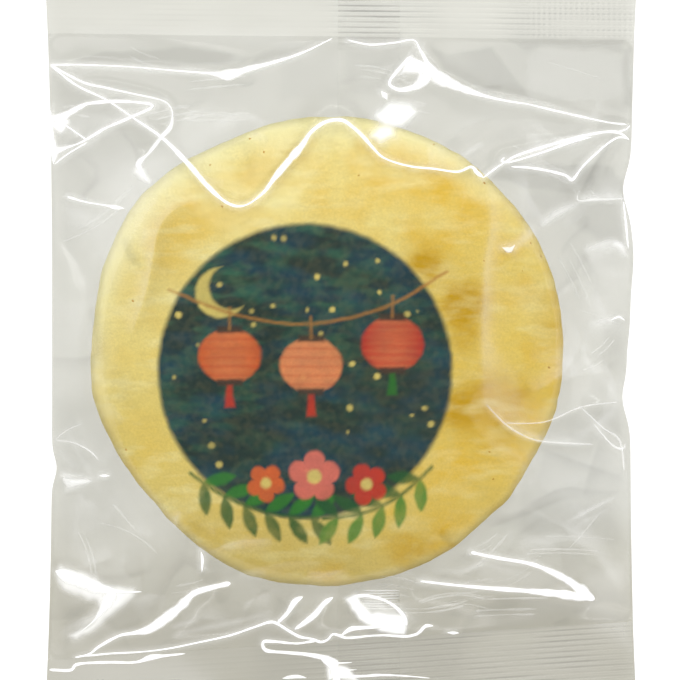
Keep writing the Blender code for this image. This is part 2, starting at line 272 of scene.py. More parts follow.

# %% [markdown]
# ## Creases
# A crease in film is a ridge with a sharp crest, and its flanks flatten out like a hanging cloth. Each one
# has a rise, the reach of its flanks and the strength of the painted highlight along its crest, then the
# places it passes: X, Y and the width of the painted highlight there. A smooth curve is drawn through the places.

# %% Crease routes
CREASES = {
    # upper left
    "top_left_to_fin": (.8, 2.0, 1.0, [(-48.5, 47, .4), (-42, 46.9, .2), (-35, 46.6, .2), (-28, 46, .25),
        (-22, 45.5, .4), (-18.8, 45.2, 1.6), (-15.5, 46.2, 1.0), (-11.5, 47.3, .6), (-6.5, 49, .4),
        (-1.5, 51.5, .2)]),
    "long_swoop": (1.7, 3.0, 1.0, [(-48.5, 47, .4), (-44, 43.5, .4), (-39, 41, .3), (-34.5, 38, .3),
        (-29.5, 34.5, .6), (-25.5, 30.5, .8), (-22, 26.5, .8), (-18.8, 23.8, .6), (-16, 23.4, .35),
        (-13, 25.4, .5), (-11, 28, .9), (-8.5, 31, 1.3), (-6.5, 33.3, 1.0), (-5, 35.5, .8),
        (-2.6, 37.2, .7), (.1, 37.5, .7), (2.1, 36.2, .6), (3.7, 34.7, .6), (5.1, 33.1, .5),
        (6.7, 31.5, .4), (9, 30.5, .35), (12, 29.8, .4), (15.3, 29.5, .4), (19.2, 29, .4), (21.5, 29.8, .5),
        (22.5, 28.8, .8), (23.5, 28, .3)]),
    "left_hook": (1.0, 2.2, .7, [(-48.5, 47, .5), (-43, 44, .5), (-39, 43, .45), (-34.5, 42, .35),
        (-30, 41, .25), (-28.5, 40, .25), (-28, 38.5, .3), (-28.3, 36.4, .75), (-29.8, 34.6, .8),
        (-31.8, 32.2, .6), (-33.6, 30.2, 1.0), (-32.2, 27.6, .3)]),
    "left_loop": (.6, 1.3, 1.0, [(-48.3, 38, 1.3), (-46.6, 38.3, 1.5), (-45, 39.1, 1.2), (-43.2, 40, .9),
        (-41.5, 40.5, .65), (-36.5, 40.7, .5), (-31.8, 40.3, .5), (-31.6, 39.6, .5), (-35, 38, .5),
        (-39, 36.4, .5), (-41.5, 35, .5), (-43.4, 34, .3), (-46, 33.1, .4), (-48, 32.2, .6)]),
    "left_edge_glint": (.3, 1.0, 1.0, [(-48.6, 39.5, .3), (-48.3, 36.5, .6), (-48.1, 33.5, .6),
        (-48, 30.6, .3)]),
    "loop_tie": (.3, .9, .9, [(-46, 37, .35), (-44, 35.6, .3), (-42.3, 34.4, .4)]),
    "loop_tail": (.3, .9, .8, [(-42.3, 34, .3), (-45.5, 32.2, .25), (-47.8, 30.5, .25)]),
    "left_dash": (.4, 1.0, .9, [(-45.6, 25, .5), (-42.5, 24.1, .25), (-39, 23.5, .3), (-37.7, 23.2, .7),
        (-36, 23, .2)]),
    # upper right
    "crown": (1.0, 2.2, 1.0, [(1.1, 51.2, .2), (4.7, 50.4, .35), (8.7, 50.7, .3), (12, 51.2, .25),
        (13.1, 49.6, .4), (14.3, 47.3, .8), (15.9, 45, 1.9), (17.9, 43.9, 1.9), (21.2, 42.5, 1.0),
        (24.5, 41.5, .5), (27.8, 40.8, .35), (31.1, 40.3, .2), (34.4, 39.5, .35), (39.3, 38.4, .35),
        (44.3, 37.4, .3), (47.6, 37.1, .4)]),
    "crown_loop": (.7, 1.2, 1.0, [(11.6, 48.4, .5), (9.7, 46.3, .6), (8, 43.9, .6), (9.2, 42.8, .6),
        (11, 42.8, .9), (13, 43.6, 1.6), (14.3, 45.1, 1.9), (13.4, 46.9, 1.0), (11.9, 48, .3)]),
    "crown_drop": (.2, .8, 1.0, [(6.7, 42.4, .5), (7.2, 41.8, 1.2), (7.6, 41.1, .5)]),
    "right_shoulder": (1.5, 2.6, 1.0, [(23.5, 28, .3), (25.2, 29.3, .3), (27, 30.5, .3), (29.4, 31.8, .5),
        (34.4, 33.4, .55), (39.3, 34.8, .55), (43.6, 35.7, .55), (46.2, 35.7, .5), (48, 34.6, .5)]),
    "shoulder_twin": (.4, .8, .9, [(27, 31.3, .5), (26.5, 30.7, .5), (28, 30.6, .4), (31.1, 31.5, .35),
        (34.4, 32.6, .4), (37.7, 33.8, .4), (41.6, 34.9, .25)]),
    "shoulder_fold": (.9, 2.0, 1.0, [(28.1, 29.8, .25), (31.1, 29.7, .4), (34.4, 29.2, .45),
        (37.2, 28.5, .5), (38.4, 27.8, .5), (40, 29.8, .35), (42, 31.8, .35), (44.3, 33.8, .35),
        (46.2, 34.9, .35), (47.9, 34.7, .4)]),
    "shoulder_tip": (.3, .8, .9, [(45.8, 35.8, .3), (47.4, 36.2, .3), (48.2, 37, .3)]),
    # right side
    "side_pleat": (.4, 1.1, .35, [(39.3, 25.3, .2), (39.5, 24.3, .3), (42, 24.5, .5), (44.5, 24.6, .5),
        (47.2, 24.8, .4)]),
    "side_edge_glint": (.2, .8, .9, [(47.1, 24.2, .3), (47.4, 21.6, .35), (47.7, 18.3, .35), (47.9, 16.4, .2)]),
    "side_dash": (.1, .6, .8, [(45, 4.5, .2), (46.3, 5, .5), (47.3, 4.4, .2)]),
    "right_hip": (1.0, 2.4, .3, [(24, -9.5, .2), (27.2, -12.8, .25), (30.5, -14.8, .3), (33.2, -15.6, .3),
        (38, -16, .35), (41.8, -16.2, .35)]),
    "hip_fold": (.7, 2.0, .3, [(27.2, -12.6, .2), (33.7, -12.4, .25), (39.8, -10, .25), (46, -9.2, .25)]),
    "hip_cross": (.4, 1.2, .3, [(40, -10.2, .2), (43.5, -13.4, .3), (46.4, -15.6, .35), (47.2, -20.5, .3)]),
    "hip_twin": (.2, 1.0, .4, [(42, -12.8, .15), (45, -16.2, .3), (46.9, -17, .5), (47.4, -16.2, .3)]),
    # lower right
    "right_corner_upper": (1.2, 2.6, 1.0, [(21.5, -34, .6), (26.1, -35, .6), (31.1, -35.9, .7),
        (34.4, -37.1, .95), (37.7, -38.8, 1.3), (39.8, -40.4, 1.9), (42.2, -42, .9)]),
    "right_corner_lower": (1.2, 2.4, 1.0, [(13.1, -38.8, .3), (17.9, -39.4, .45), (22.8, -39.9, .6),
        (27.8, -40.3, .8), (32.7, -40.7, 1.1), (37.7, -41.2, 1.6), (42.2, -42.1, .9)]),
    # lower left
    "left_corner_upper": (1.5, 2.8, .9, [(-47.6, -37.4, .7), (-45.5, -38.1, 2.3), (-42.5, -39.1, 2.2),
        (-39.8, -40.1, 1.7), (-36.5, -40.6, .6), (-33.2, -40.7, .2)]),
    "left_corner_arm": (.6, 1.8, .6, [(-37.4, -40.4, 1.4), (-38.4, -41.6, 2.2), (-39.4, -43.2, 1.4),
        (-41.2, -45.6, .5), (-43.8, -47.8, .15)]),
    "left_corner_lower": (1.6, 2.8, 1.0, [(-44.4, -51.8, .4), (-42, -51.2, .4), (-40.3, -49.9, .5),
        (-37, -48.1, .5), (-34.4, -47.6, .7), (-31.8, -46.9, 1.4), (-28.8, -44.8, 1.7), (-26.5, -42.9, 1.5),
        (-24.5, -40.9, 1.1), (-21.9, -40, .9), (-18.4, -39.2, .8)]),
    "bottom_wave": (1.0, 2.4, 1.0, [(-44, -51.7, .3), (-39, -51.2, .35), (-33.1, -50.9, .25),
        (-28.5, -50.3, .3), (-23.8, -49.3, .35), (-18.6, -48.1, .35), (-14.6, -46.7, .4), (-12, -45.8, .5),
        (-10.7, -46, .5), (-9, -47.1, .6), (-6.9, -48.3, .6), (-4.9, -48.7, .4), (-3.4, -49.2, .7),
        (-2.2, -48.8, .5), (-1.4, -47.9, .4), (0, -48.2, .6), (.8, -48.5, .5), (2.8, -48.4, .4),
        (4.5, -48.2, .35), (7.3, -48.1, .4), (10.5, -48.3, .5), (12.3, -48, .5), (13.1, -47.5, .6),
        (14.1, -46.5, .7), (15.3, -46.5, .5)]),
    "wave_band": (.3, 1.0, 1.0, [(0, -48.1, .3), (1.5, -47, .8), (2.8, -46.8, .7), (4.5, -46.7, .6),
        (7.3, -46.6, .4)]),
    "left_tuck": (.4, 1.0, 1.0, [(-48.7, -53.9, .5), (-45.3, -54, .6), (-44.3, -53.1, .5),
        (-42.3, -52.8, .5), (-38.7, -52.7, .5), (-34.4, -52.7, .4), (-31.8, -51.9, .9), (-29.1, -51.6, .5),
        (-26.1, -51.3, .2)]),
    "wave_prong": (.4, 1.0, 1.0, [(-10.7, -46, .4), (-9, -44.3, .7), (-7.7, -42.3, .9), (-6.4, -41.5, .5)]),
    "wave_prong_twin": (.4, 1.0, 1.0, [(-7.7, -47, .5), (-6, -45.8, 1.0), (-4.4, -44.5, 1.0),
        (-2.8, -42.6, .9), (-1.4, -41.6, .6)]),
    "seal_zigzag": (.3, .8, 1.0, [(-4.1, -48.9, .6), (-7.4, -49.5, .5), (-10.7, -49.2, .6),
        (-12.9, -49.2, .6), (-12.6, -50.7, .7), (-9, -51.1, .6), (-5.7, -51.4, .8), (-2.4, -52.1, 1.3),
        (-.6, -53.3, 1.8)]),
    "seal_spill": (.2, .8, 1.0, [(-3.4, -52, .9), (-1.6, -53.2, 1.6), (-.8, -54.6, 1.7), (-.9, -56.6, 1.4)]),
    "seal_streak_1": (0, .8, .9, [(-2, -52.7, .5), (-.2, -52.8, .25), (1.8, -52.7, .15)]),
    "seal_streak_2": (0, .8, .9, [(-1.4, -53.9, .6), (.6, -54, .3), (2.6, -53.9, .15)]),
    "seal_streak_3": (0, .8, .9, [(-.6, -55, .8), (3.2, -55, .4), (6.4, -54.8, .5), (10, -54.9, .3),
        (14.8, -55.3, .15)]),
    "seal_streak_4": (0, .8, .8, [(-9.8, -55.4, .3), (-7.6, -55.1, .7), (-5.8, -55.3, .2)]),
    **{f"rib_glint_{line}": (0, .6, .32, [(3.5, -40.4 - .44 * line, .1), (6.4, -40.45 - .44 * line, .24),
        (9.7, -40.4 - .44 * line, .1)]) for line in range(8)},
    "fin_glint": (.4, 1.4, 1.0, [(2.2, -41.4, .5), (4.4, -41.3, .6), (7, -42, .4), (9, -43.2, .5),
        (10.4, -44.8, .7), (10.9, -46.4, .6)]),
    "bottom_dash": (.2, .8, .9, [(17.7, -47.7, .2), (18.7, -47.7, .6), (19.7, -47.8, .2)]),
    "side_slit": (.3, 1.0, 1.0, [(-23.2, -34, .2), (-23, -35.3, .6), (-23.1, -37.3, .2)]),
    # left side
    "left_waist": (.4, 1.4, .35, [(-46.4, -21.9, .4), (-45.4, -22.6, 1.6), (-43.6, -22.5, 1.1),
        (-41.4, -22.3, .2)]),
    "left_waist_dash": (.2, .7, .8, [(-40.2, -21.4, .2), (-39.4, -21.4, .5), (-38.4, -21.4, .2)]),
    "left_arc": (.3, 1.2, .35, [(-47.5, -15.6, .15), (-44.7, -15.9, .2), (-41.9, -17.2, .25),
        (-40.2, -18.9, .15)]),
    "left_arc_twin": (.2, 1.0, .2, [(-47.7, -15.5, .15), (-45.7, -13.9, .2), (-43, -12.7, .15)]),
    "right_glint": (.2, .8, .6, [(26.7, 16.5, .3), (27.4, 16.2, .9), (28, 16.1, .9), (28.8, 16.9, .2)]),
}
print("creases:", len(CREASES))

# %% Curves through the places
CREST_RADIUS = 0.35
# painted highlight beside a crest: how strong it is, and how far it reaches to either side
CREST_HIGHLIGHT = 0.2
CREST_HIGHLIGHT_REACH = 0.7
CURVE_STEP = 0.5
FAR = 1e9


def smooth_route(places, step=CURVE_STEP):
    """Points along a Catmull-Rom curve through the places."""
    knots = np.array([places[0], *places, places[-1]], float)
    points = []
    for a, b, c, d in zip(knots, knots[1:], knots[2:], knots[3:]):
        count = max(int(math.dist(b[:2], c[:2]) / step), 2)
        t = np.linspace(0.0, 1.0, count, endpoint=False)[:, None]
        points.append(0.5 * (2 * b + (c - a) * t + (2 * a - 5 * b + 4 * c - d) * t ** 2
                             + (3 * b - a - 3 * c + d) * t ** 3))
    return np.vstack([*points, knots[-1:]])


def distance_to_route(x, y, curve):
    """Distance to a curve in plan, the share of its length at the nearest place, and if that lies on its left."""
    nearest = np.full(x.shape, FAR)
    along = np.zeros(x.shape)
    left = np.zeros(x.shape, bool)
    spans = len(curve) - 1
    for index in range(spans):
        (ax, ay), (bx, by) = curve[index, :2], curve[index + 1, :2]
        dx, dy = bx - ax, by - ay
        t = unit(((x - ax) * dx + (y - ay) * dy) / max(dx * dx + dy * dy, 1e-9))
        distance = np.hypot(x - ax - dx * t, y - ay - dy * t)
        closer = distance < nearest
        nearest = np.where(closer, distance, nearest)
        along = np.where(closer, (index + t) / spans, along)
        left = np.where(closer, dx * (y - ay) > dy * (x - ax), left)
    return nearest, along, left


def near_route(x, y, curve, margin):
    """Marks the points in a box round a curve, to spare the others the work."""
    (x0, y0), (x1, y1) = curve[:, :2].min(0) - margin, curve[:, :2].max(0) + margin
    return (x > x0) & (x < x1) & (y > y0) & (y < y1)


print("points on the long swoop:", len(smooth_route(CREASES["long_swoop"][3])))

# %% [markdown]
# ## Uneven fields
# Nothing here is perfectly even: film is slack, the cracker swells, ink takes in places. One helper gives
# a smooth random field of a chosen grain size. Its seed is fixed, so every run gives the same pack.

# %% Smooth random fields
LATTICE = 64


def uneven(x, y, size, seed, octaves=2):
    """A smooth random field between 0 and 1 with humps about as wide as size."""
    lattice = np.random.default_rng(seed).random((LATTICE, LATTICE))
    total, weight = np.zeros(np.shape(x)), 0.0
    for octave in range(octaves):
        turn = 0.6 + 1.1 * octave
        step = size / 2 ** octave
        u = (x * math.cos(turn) - y * math.sin(turn)) / step
        v = (x * math.sin(turn) + y * math.cos(turn)) / step
        i, j = np.floor(u).astype(int), np.floor(v).astype(int)
        s, t = u - i, v - j
        s, t = s ** 3 * (s * (s * 6 - 15) + 10), t ** 3 * (t * (t * 6 - 15) + 10)
        i0, i1, j0, j1 = i % LATTICE, (i + 1) % LATTICE, j % LATTICE, (j + 1) % LATTICE
        near = mix(lattice[i0, j0], lattice[i1, j0], s)
        far = mix(lattice[i0, j1], lattice[i1, j1], s)
        total += mix(near, far, t) / 2 ** octave
        weight += 1 / 2 ** octave
    return total / weight


print("a field's value at the origin:", round(float(uneven(np.zeros(1), np.zeros(1), 5.0, 3)[0]), 2))

# %% [markdown]
# ## Heights of the film
# The front sheet rises from the seals and side folds to lie loosely on the cracker, and the back sheet
# lies on the ground. Both are worked out as heights over the bag's outline, with the creases on top.

# %% Film heights
CRACKER_CENTRE = (-2.0, -0.5)
CRACKER_RADIUS = 39.0
CRACKER_TOP = 6.5
CRACKER_BOTTOM = 0.75
FRONT_SLACK = 0.6
FRONT_BULGE = 1.25
BACK_RISE = 1.8
BACK_LIFT = 0.3
FOLD_HEIGHT = 2.8
CORNER_BLEND = 5.0
EDGE_FADE = 4.0
FOLD_ROUND = 0.5
SEAL_HEIGHT = 2.3
SEAL_WAVE = 0.5
SEAL_WAVELENGTH = 62.0
SEAL_WAVE_START = 0.6
FOLD_HALF = 0.3  # half the thickness of a side fold
CORNER_OVERLAP = 3.0
LANDING = 1.5  # how far inside the cracker's rim the film comes to lie on it
CREASE_REACH = 5.0  # a crease is worked out this many reaches to either side
CREASE_RUNOUT = 0.25  # share of its length over which a crease dies down
CREASE_END = 0.15  # what is left of it at its end
SLACK_HUMPS = [(0.7, 15.0, 3, 2), (0.1, 5.0, 4, 1)]  # height, width, seed, octaves


def off_centre(x, y):
    """Distance from the cracker's centre in plan."""
    return np.hypot(x - CRACKER_CENTRE[0], y - CRACKER_CENTRE[1])


def seal_middle_z(x):
    return SEAL_HEIGHT + SEAL_WAVE * np.sin(2.0 * math.pi * x / SEAL_WAVELENGTH + SEAL_WAVE_START)


def edge_distances(x, y):
    """Distance to the nearest end seal, and to the nearest edge of the pillow."""
    to_fold = np.maximum(np.minimum(x - left_x(y), right_x(y) - x), 0.0)
    to_seal = np.maximum(np.minimum(y - seal_y(BOTTOM_LINE, x), seal_y(TOP_LINE, x) - y), 0.0)
    overlap = np.maximum(CORNER_OVERLAP - np.abs(to_fold - to_seal), 0.0) / CORNER_OVERLAP
    return to_seal, np.maximum(np.minimum(to_fold, to_seal) - overlap ** 2 * CORNER_OVERLAP / 4.0, 0.0)


def edge_z(x, to_seal):
    return mix(FOLD_HEIGHT, seal_middle_z(x), np.exp(-to_seal / CORNER_BLEND))


def share_of_way_in(x, y, to_edge):
    """0 at the edge of the pillow, 1 over the cracker."""
    outside = off_centre(x, y) - CRACKER_RADIUS + LANDING
    return to_edge / np.maximum(to_edge + np.maximum(outside, 0.0), 1e-6)


print("middle of an end seal, mm high:", round(float(seal_middle_z(0.0)), 2))

# %% Creases and slack of the film
def crease_relief(x, y):
    """Height that the creases raise, and the faint painted highlight on either side of a crest."""
    height, white = np.zeros(x.shape), np.zeros(x.shape)
    for rise, reach, strength, places in CREASES.values():
        curve = smooth_route(places)
        near = near_route(x, y, curve, CREASE_REACH * reach)
        distance, along, left = distance_to_route(x[near], y[near], curve)
        ending = unit((1.0 - along) / CREASE_RUNOUT + CREASE_END)
        rounded = np.hypot(distance, CREST_RADIUS) - CREST_RADIUS
        height[near] += rise * np.exp(-rounded / reach) * ending
        halo = strength * np.exp(-(distance / CREST_HIGHLIGHT_REACH) ** 2) * ending
        white[near] = np.maximum(white[near], CREST_HIGHLIGHT * halo)
    return height, white


def front_film(x, y):
    """Heights of the front sheet, and the painted highlight along its creases."""
    to_seal, to_edge = edge_distances(x, y)
    low = edge_z(x, to_seal) + FOLD_HALF * np.sqrt(1.0 - unit(1.0 - to_edge / FOLD_ROUND) ** 2)
    rise = 1.0 - (1.0 - share_of_way_in(x, y, to_edge)) ** FRONT_BULGE
    fade = 1.0 - np.exp(-to_edge / EDGE_FADE)
    ridge, white = crease_relief(x, y)
    slack = sum(height * (uneven(x, y, *field) - 0.5) for height, *field in SLACK_HUMPS)
    return mix(low, CRACKER_TOP + FRONT_SLACK, rise) + fade * (ridge + slack), white


def back_film(x, y):
    to_seal, to_edge = edge_distances(x, y)
    high = edge_z(x, to_seal) - BACK_LIFT
    return high * (1.0 - share_of_way_in(x, y, to_edge)) ** BACK_RISE + BACK_LIFT


middle_z = front_film(*(np.full(1, place) for place in CRACKER_CENTRE))[0][0]
print("film over the cracker's centre, mm:", round(float(middle_z), 2))

# %% [markdown]
# ## Meshes and pieces
# A sheet is a grid of points. Extra numbers that a material needs, such as how strong a crease's painted
# highlight is, go with the mesh as vertex attributes. Every piece rides on the one body and stands in for
# the pack's solid.

# %% Meshes and pieces
def grid_quads(index):
    """Quads between the rows and columns of a grid of vertex numbers, anticlockwise from above."""
    return np.stack([index[:-1, :-1], index[:-1, 1:], index[1:, 1:], index[1:, :-1]], -1).reshape(-1, 4)


def add_field(mesh, label, values):
    layer = mesh.attributes.new(label, "FLOAT", "POINT")
    layer.data.foreach_set("value", np.ascontiguousarray(values, np.float32).ravel())


def grid_mesh(name, x, y, z, **fields):
    """A sheet of quads over rows and columns of points, facing up."""
    mesh = bpy.data.meshes.new(name)
    points = np.stack([x, y, z], -1).reshape(-1, 3) * MM
    mesh.from_pydata(points, [], grid_quads(np.arange(x.size).reshape(x.shape)))
    for label, values in fields.items():
        add_field(mesh, label, values)
    mesh.shade_smooth()
    return mesh


def add_piece(piece):
    """Ties a finished object to the pack's body, in place of its solid."""
    if not piece.users_collection:
        bpy.context.scene.collection.objects.link(piece)
    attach(piece, "root")
    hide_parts(PACK)
    print(piece.name, "triangles:", sum(len(face.vertices) - 2 for face in piece.data.polygons))

# %% [markdown]
# ## Film
# Film this thin needs no glass shader with its bent light: what is behind it shows straight through, a
# little darker. So its material lets light pass with a grey tint, mirrors a share that grows at a glance,
# and turns to a white haze: faint and patchy of its own, and strong where painted highlights and painted
# lighter tones lie along creases, crimps and facets. One shader group works out tint and haze for every
# kind of film here: near the lower seal painted shade makes the tint warmer and darker, and it is uneven all over.

# %% Film tone group
FILM_TINT = (0.768, 0.766, 0.735)
# painted shade: the film is made darker and warmer towards the lower seal, where less light falls
LOWER_SHADE_TINT = (0.89, 0.88, 0.85)
LOWER_FADE = (-20.0, -44.0)
FILM_IOR = 1.36
FILM_GLOSS = 0.11
# white of the film's own faint haze and of the painted highlights and painted lighter tones it carries
HAZE_AND_HIGHLIGHT_WHITE = (0.95, 0.95, 0.94)
PATCH_SIZE = 14.0
TINT_WAVER = 12.0  # how far unevenness moves the place where the painted lower shade sets in


def tone_group():
    """Tint and haze of film from its place on the bag."""
    group, given, output = new_group("film_tone", "ShaderNodeTree", {
        "Tint": "Color", "Lower Shade Tint": "Color", "Haze": "Float", "White": "Float", "Shade": "Float",
        "Patch Size": "Float"}, {"Tint": "Color", "Haze": "Float"})
    place = add_node(group, "ShaderNodeTexCoord").outputs["Object"]
    along = add_node(group, "ShaderNodeSeparateXYZ", {0: place}).outputs["Y"]
    noise = noise_node(group, given["Patch Size"], {"Vector": place, "Detail": 1.0})
    wavering = link_math(group, "MULTIPLY_ADD", noise, TINT_WAVER * MM, along)
    # painted shade: towards the lower seal the tint is multiplied by the lower shade tint
    low = smooth_step(group, wavering, *((end + TINT_WAVER / 2.0) * MM for end in LOWER_FADE))
    darker = add_node(group, "ShaderNodeMix", {
        "Factor": low, "A": given["Tint"], "B": given["Lower Shade Tint"]}, data_type="RGBA", blend_type="MULTIPLY")
    left_over = link_math(group, "SUBTRACT", 1.0, given["Shade"])
    patchy = link_math(group, "MULTIPLY", noise, given["Haze"])
    # Haze out is the white attribute, which holds painted highlight and painted lighter tone, plus the film's own
    # patchy haze
    fill(group, output, {"Tint": scaled(group, darker.outputs["Result"], left_over),
                         "Haze": link_math(group, "ADD", given["White"], patchy)})
    return group


film_tone = tone_group()
print("film tone sockets:", [socket.name for socket in film_tone.interface.items_tree])

# %% Film materials
def film_material(name, layers, haze_share):
    """Film of so many layers, each of which tints what shows through it."""
    material, tree = new_material(name)
    tree.nodes.remove(tree.nodes["Principled BSDF"])
    stored = {label: add_node(tree, "ShaderNodeAttribute", attribute_name=label.lower()).outputs["Fac"]
              for label in ("White", "Shade")}
    tone = add_node(tree, "ShaderNodeGroup", {
        "Tint": (*(part ** layers for part in FILM_TINT), 1.0),
        "Lower Shade Tint": (*(part ** layers for part in LOWER_SHADE_TINT), 1.0),
        "Haze": haze_share, "Patch Size": PATCH_SIZE * MM, **stored}, node_tree=film_tone)
    clear = add_node(tree, "ShaderNodeBsdfTransparent", {"Color": tone.outputs["Tint"]})
    mirror = add_node(tree, "ShaderNodeBsdfGlossy", {"Roughness": FILM_GLOSS})
    # this diffuse white is the film's faint haze and, through the white attribute, its painted highlights and
    # painted lighter tones
    haze = add_node(tree, "ShaderNodeBsdfDiffuse", {"Color": (*HAZE_AND_HIGHLIGHT_WHITE, 1.0)})
    backfacing = add_node(tree, "ShaderNodeNewGeometry").outputs["Backfacing"]
    ior = link_math(tree, "MULTIPLY_ADD", backfacing, 1.0 / FILM_IOR - FILM_IOR, FILM_IOR)
    glance = add_node(tree, "ShaderNodeFresnel", {"IOR": ior}).outputs["Fac"]
    film = add_node(tree, "ShaderNodeMixShader", {"Fac": glance, 1: clear.outputs[0], 2: mirror.outputs[0]})
    whole = add_node(tree, "ShaderNodeMixShader", {
        "Fac": tone.outputs["Haze"], 1: film.outputs[0], 2: haze.outputs[0]})
    fill(tree, tree.nodes["Material Output"], {"Surface": whole.outputs[0]})
    return material


clear_film = film_material("clear_film", 1.0, 0.01)
sealed_film = film_material("sealed_film", 2.0, 0.06)
fin_film = film_material("fin_film", 0.03, 0.005)
# the white of the crest ribbons and hairlines: painted highlights
crest_highlight_film = film_material("crest_highlight_film", 0.05, 0.02)
print("films:", [film.name for film in (clear_film, sealed_film, fin_film, crest_highlight_film)])
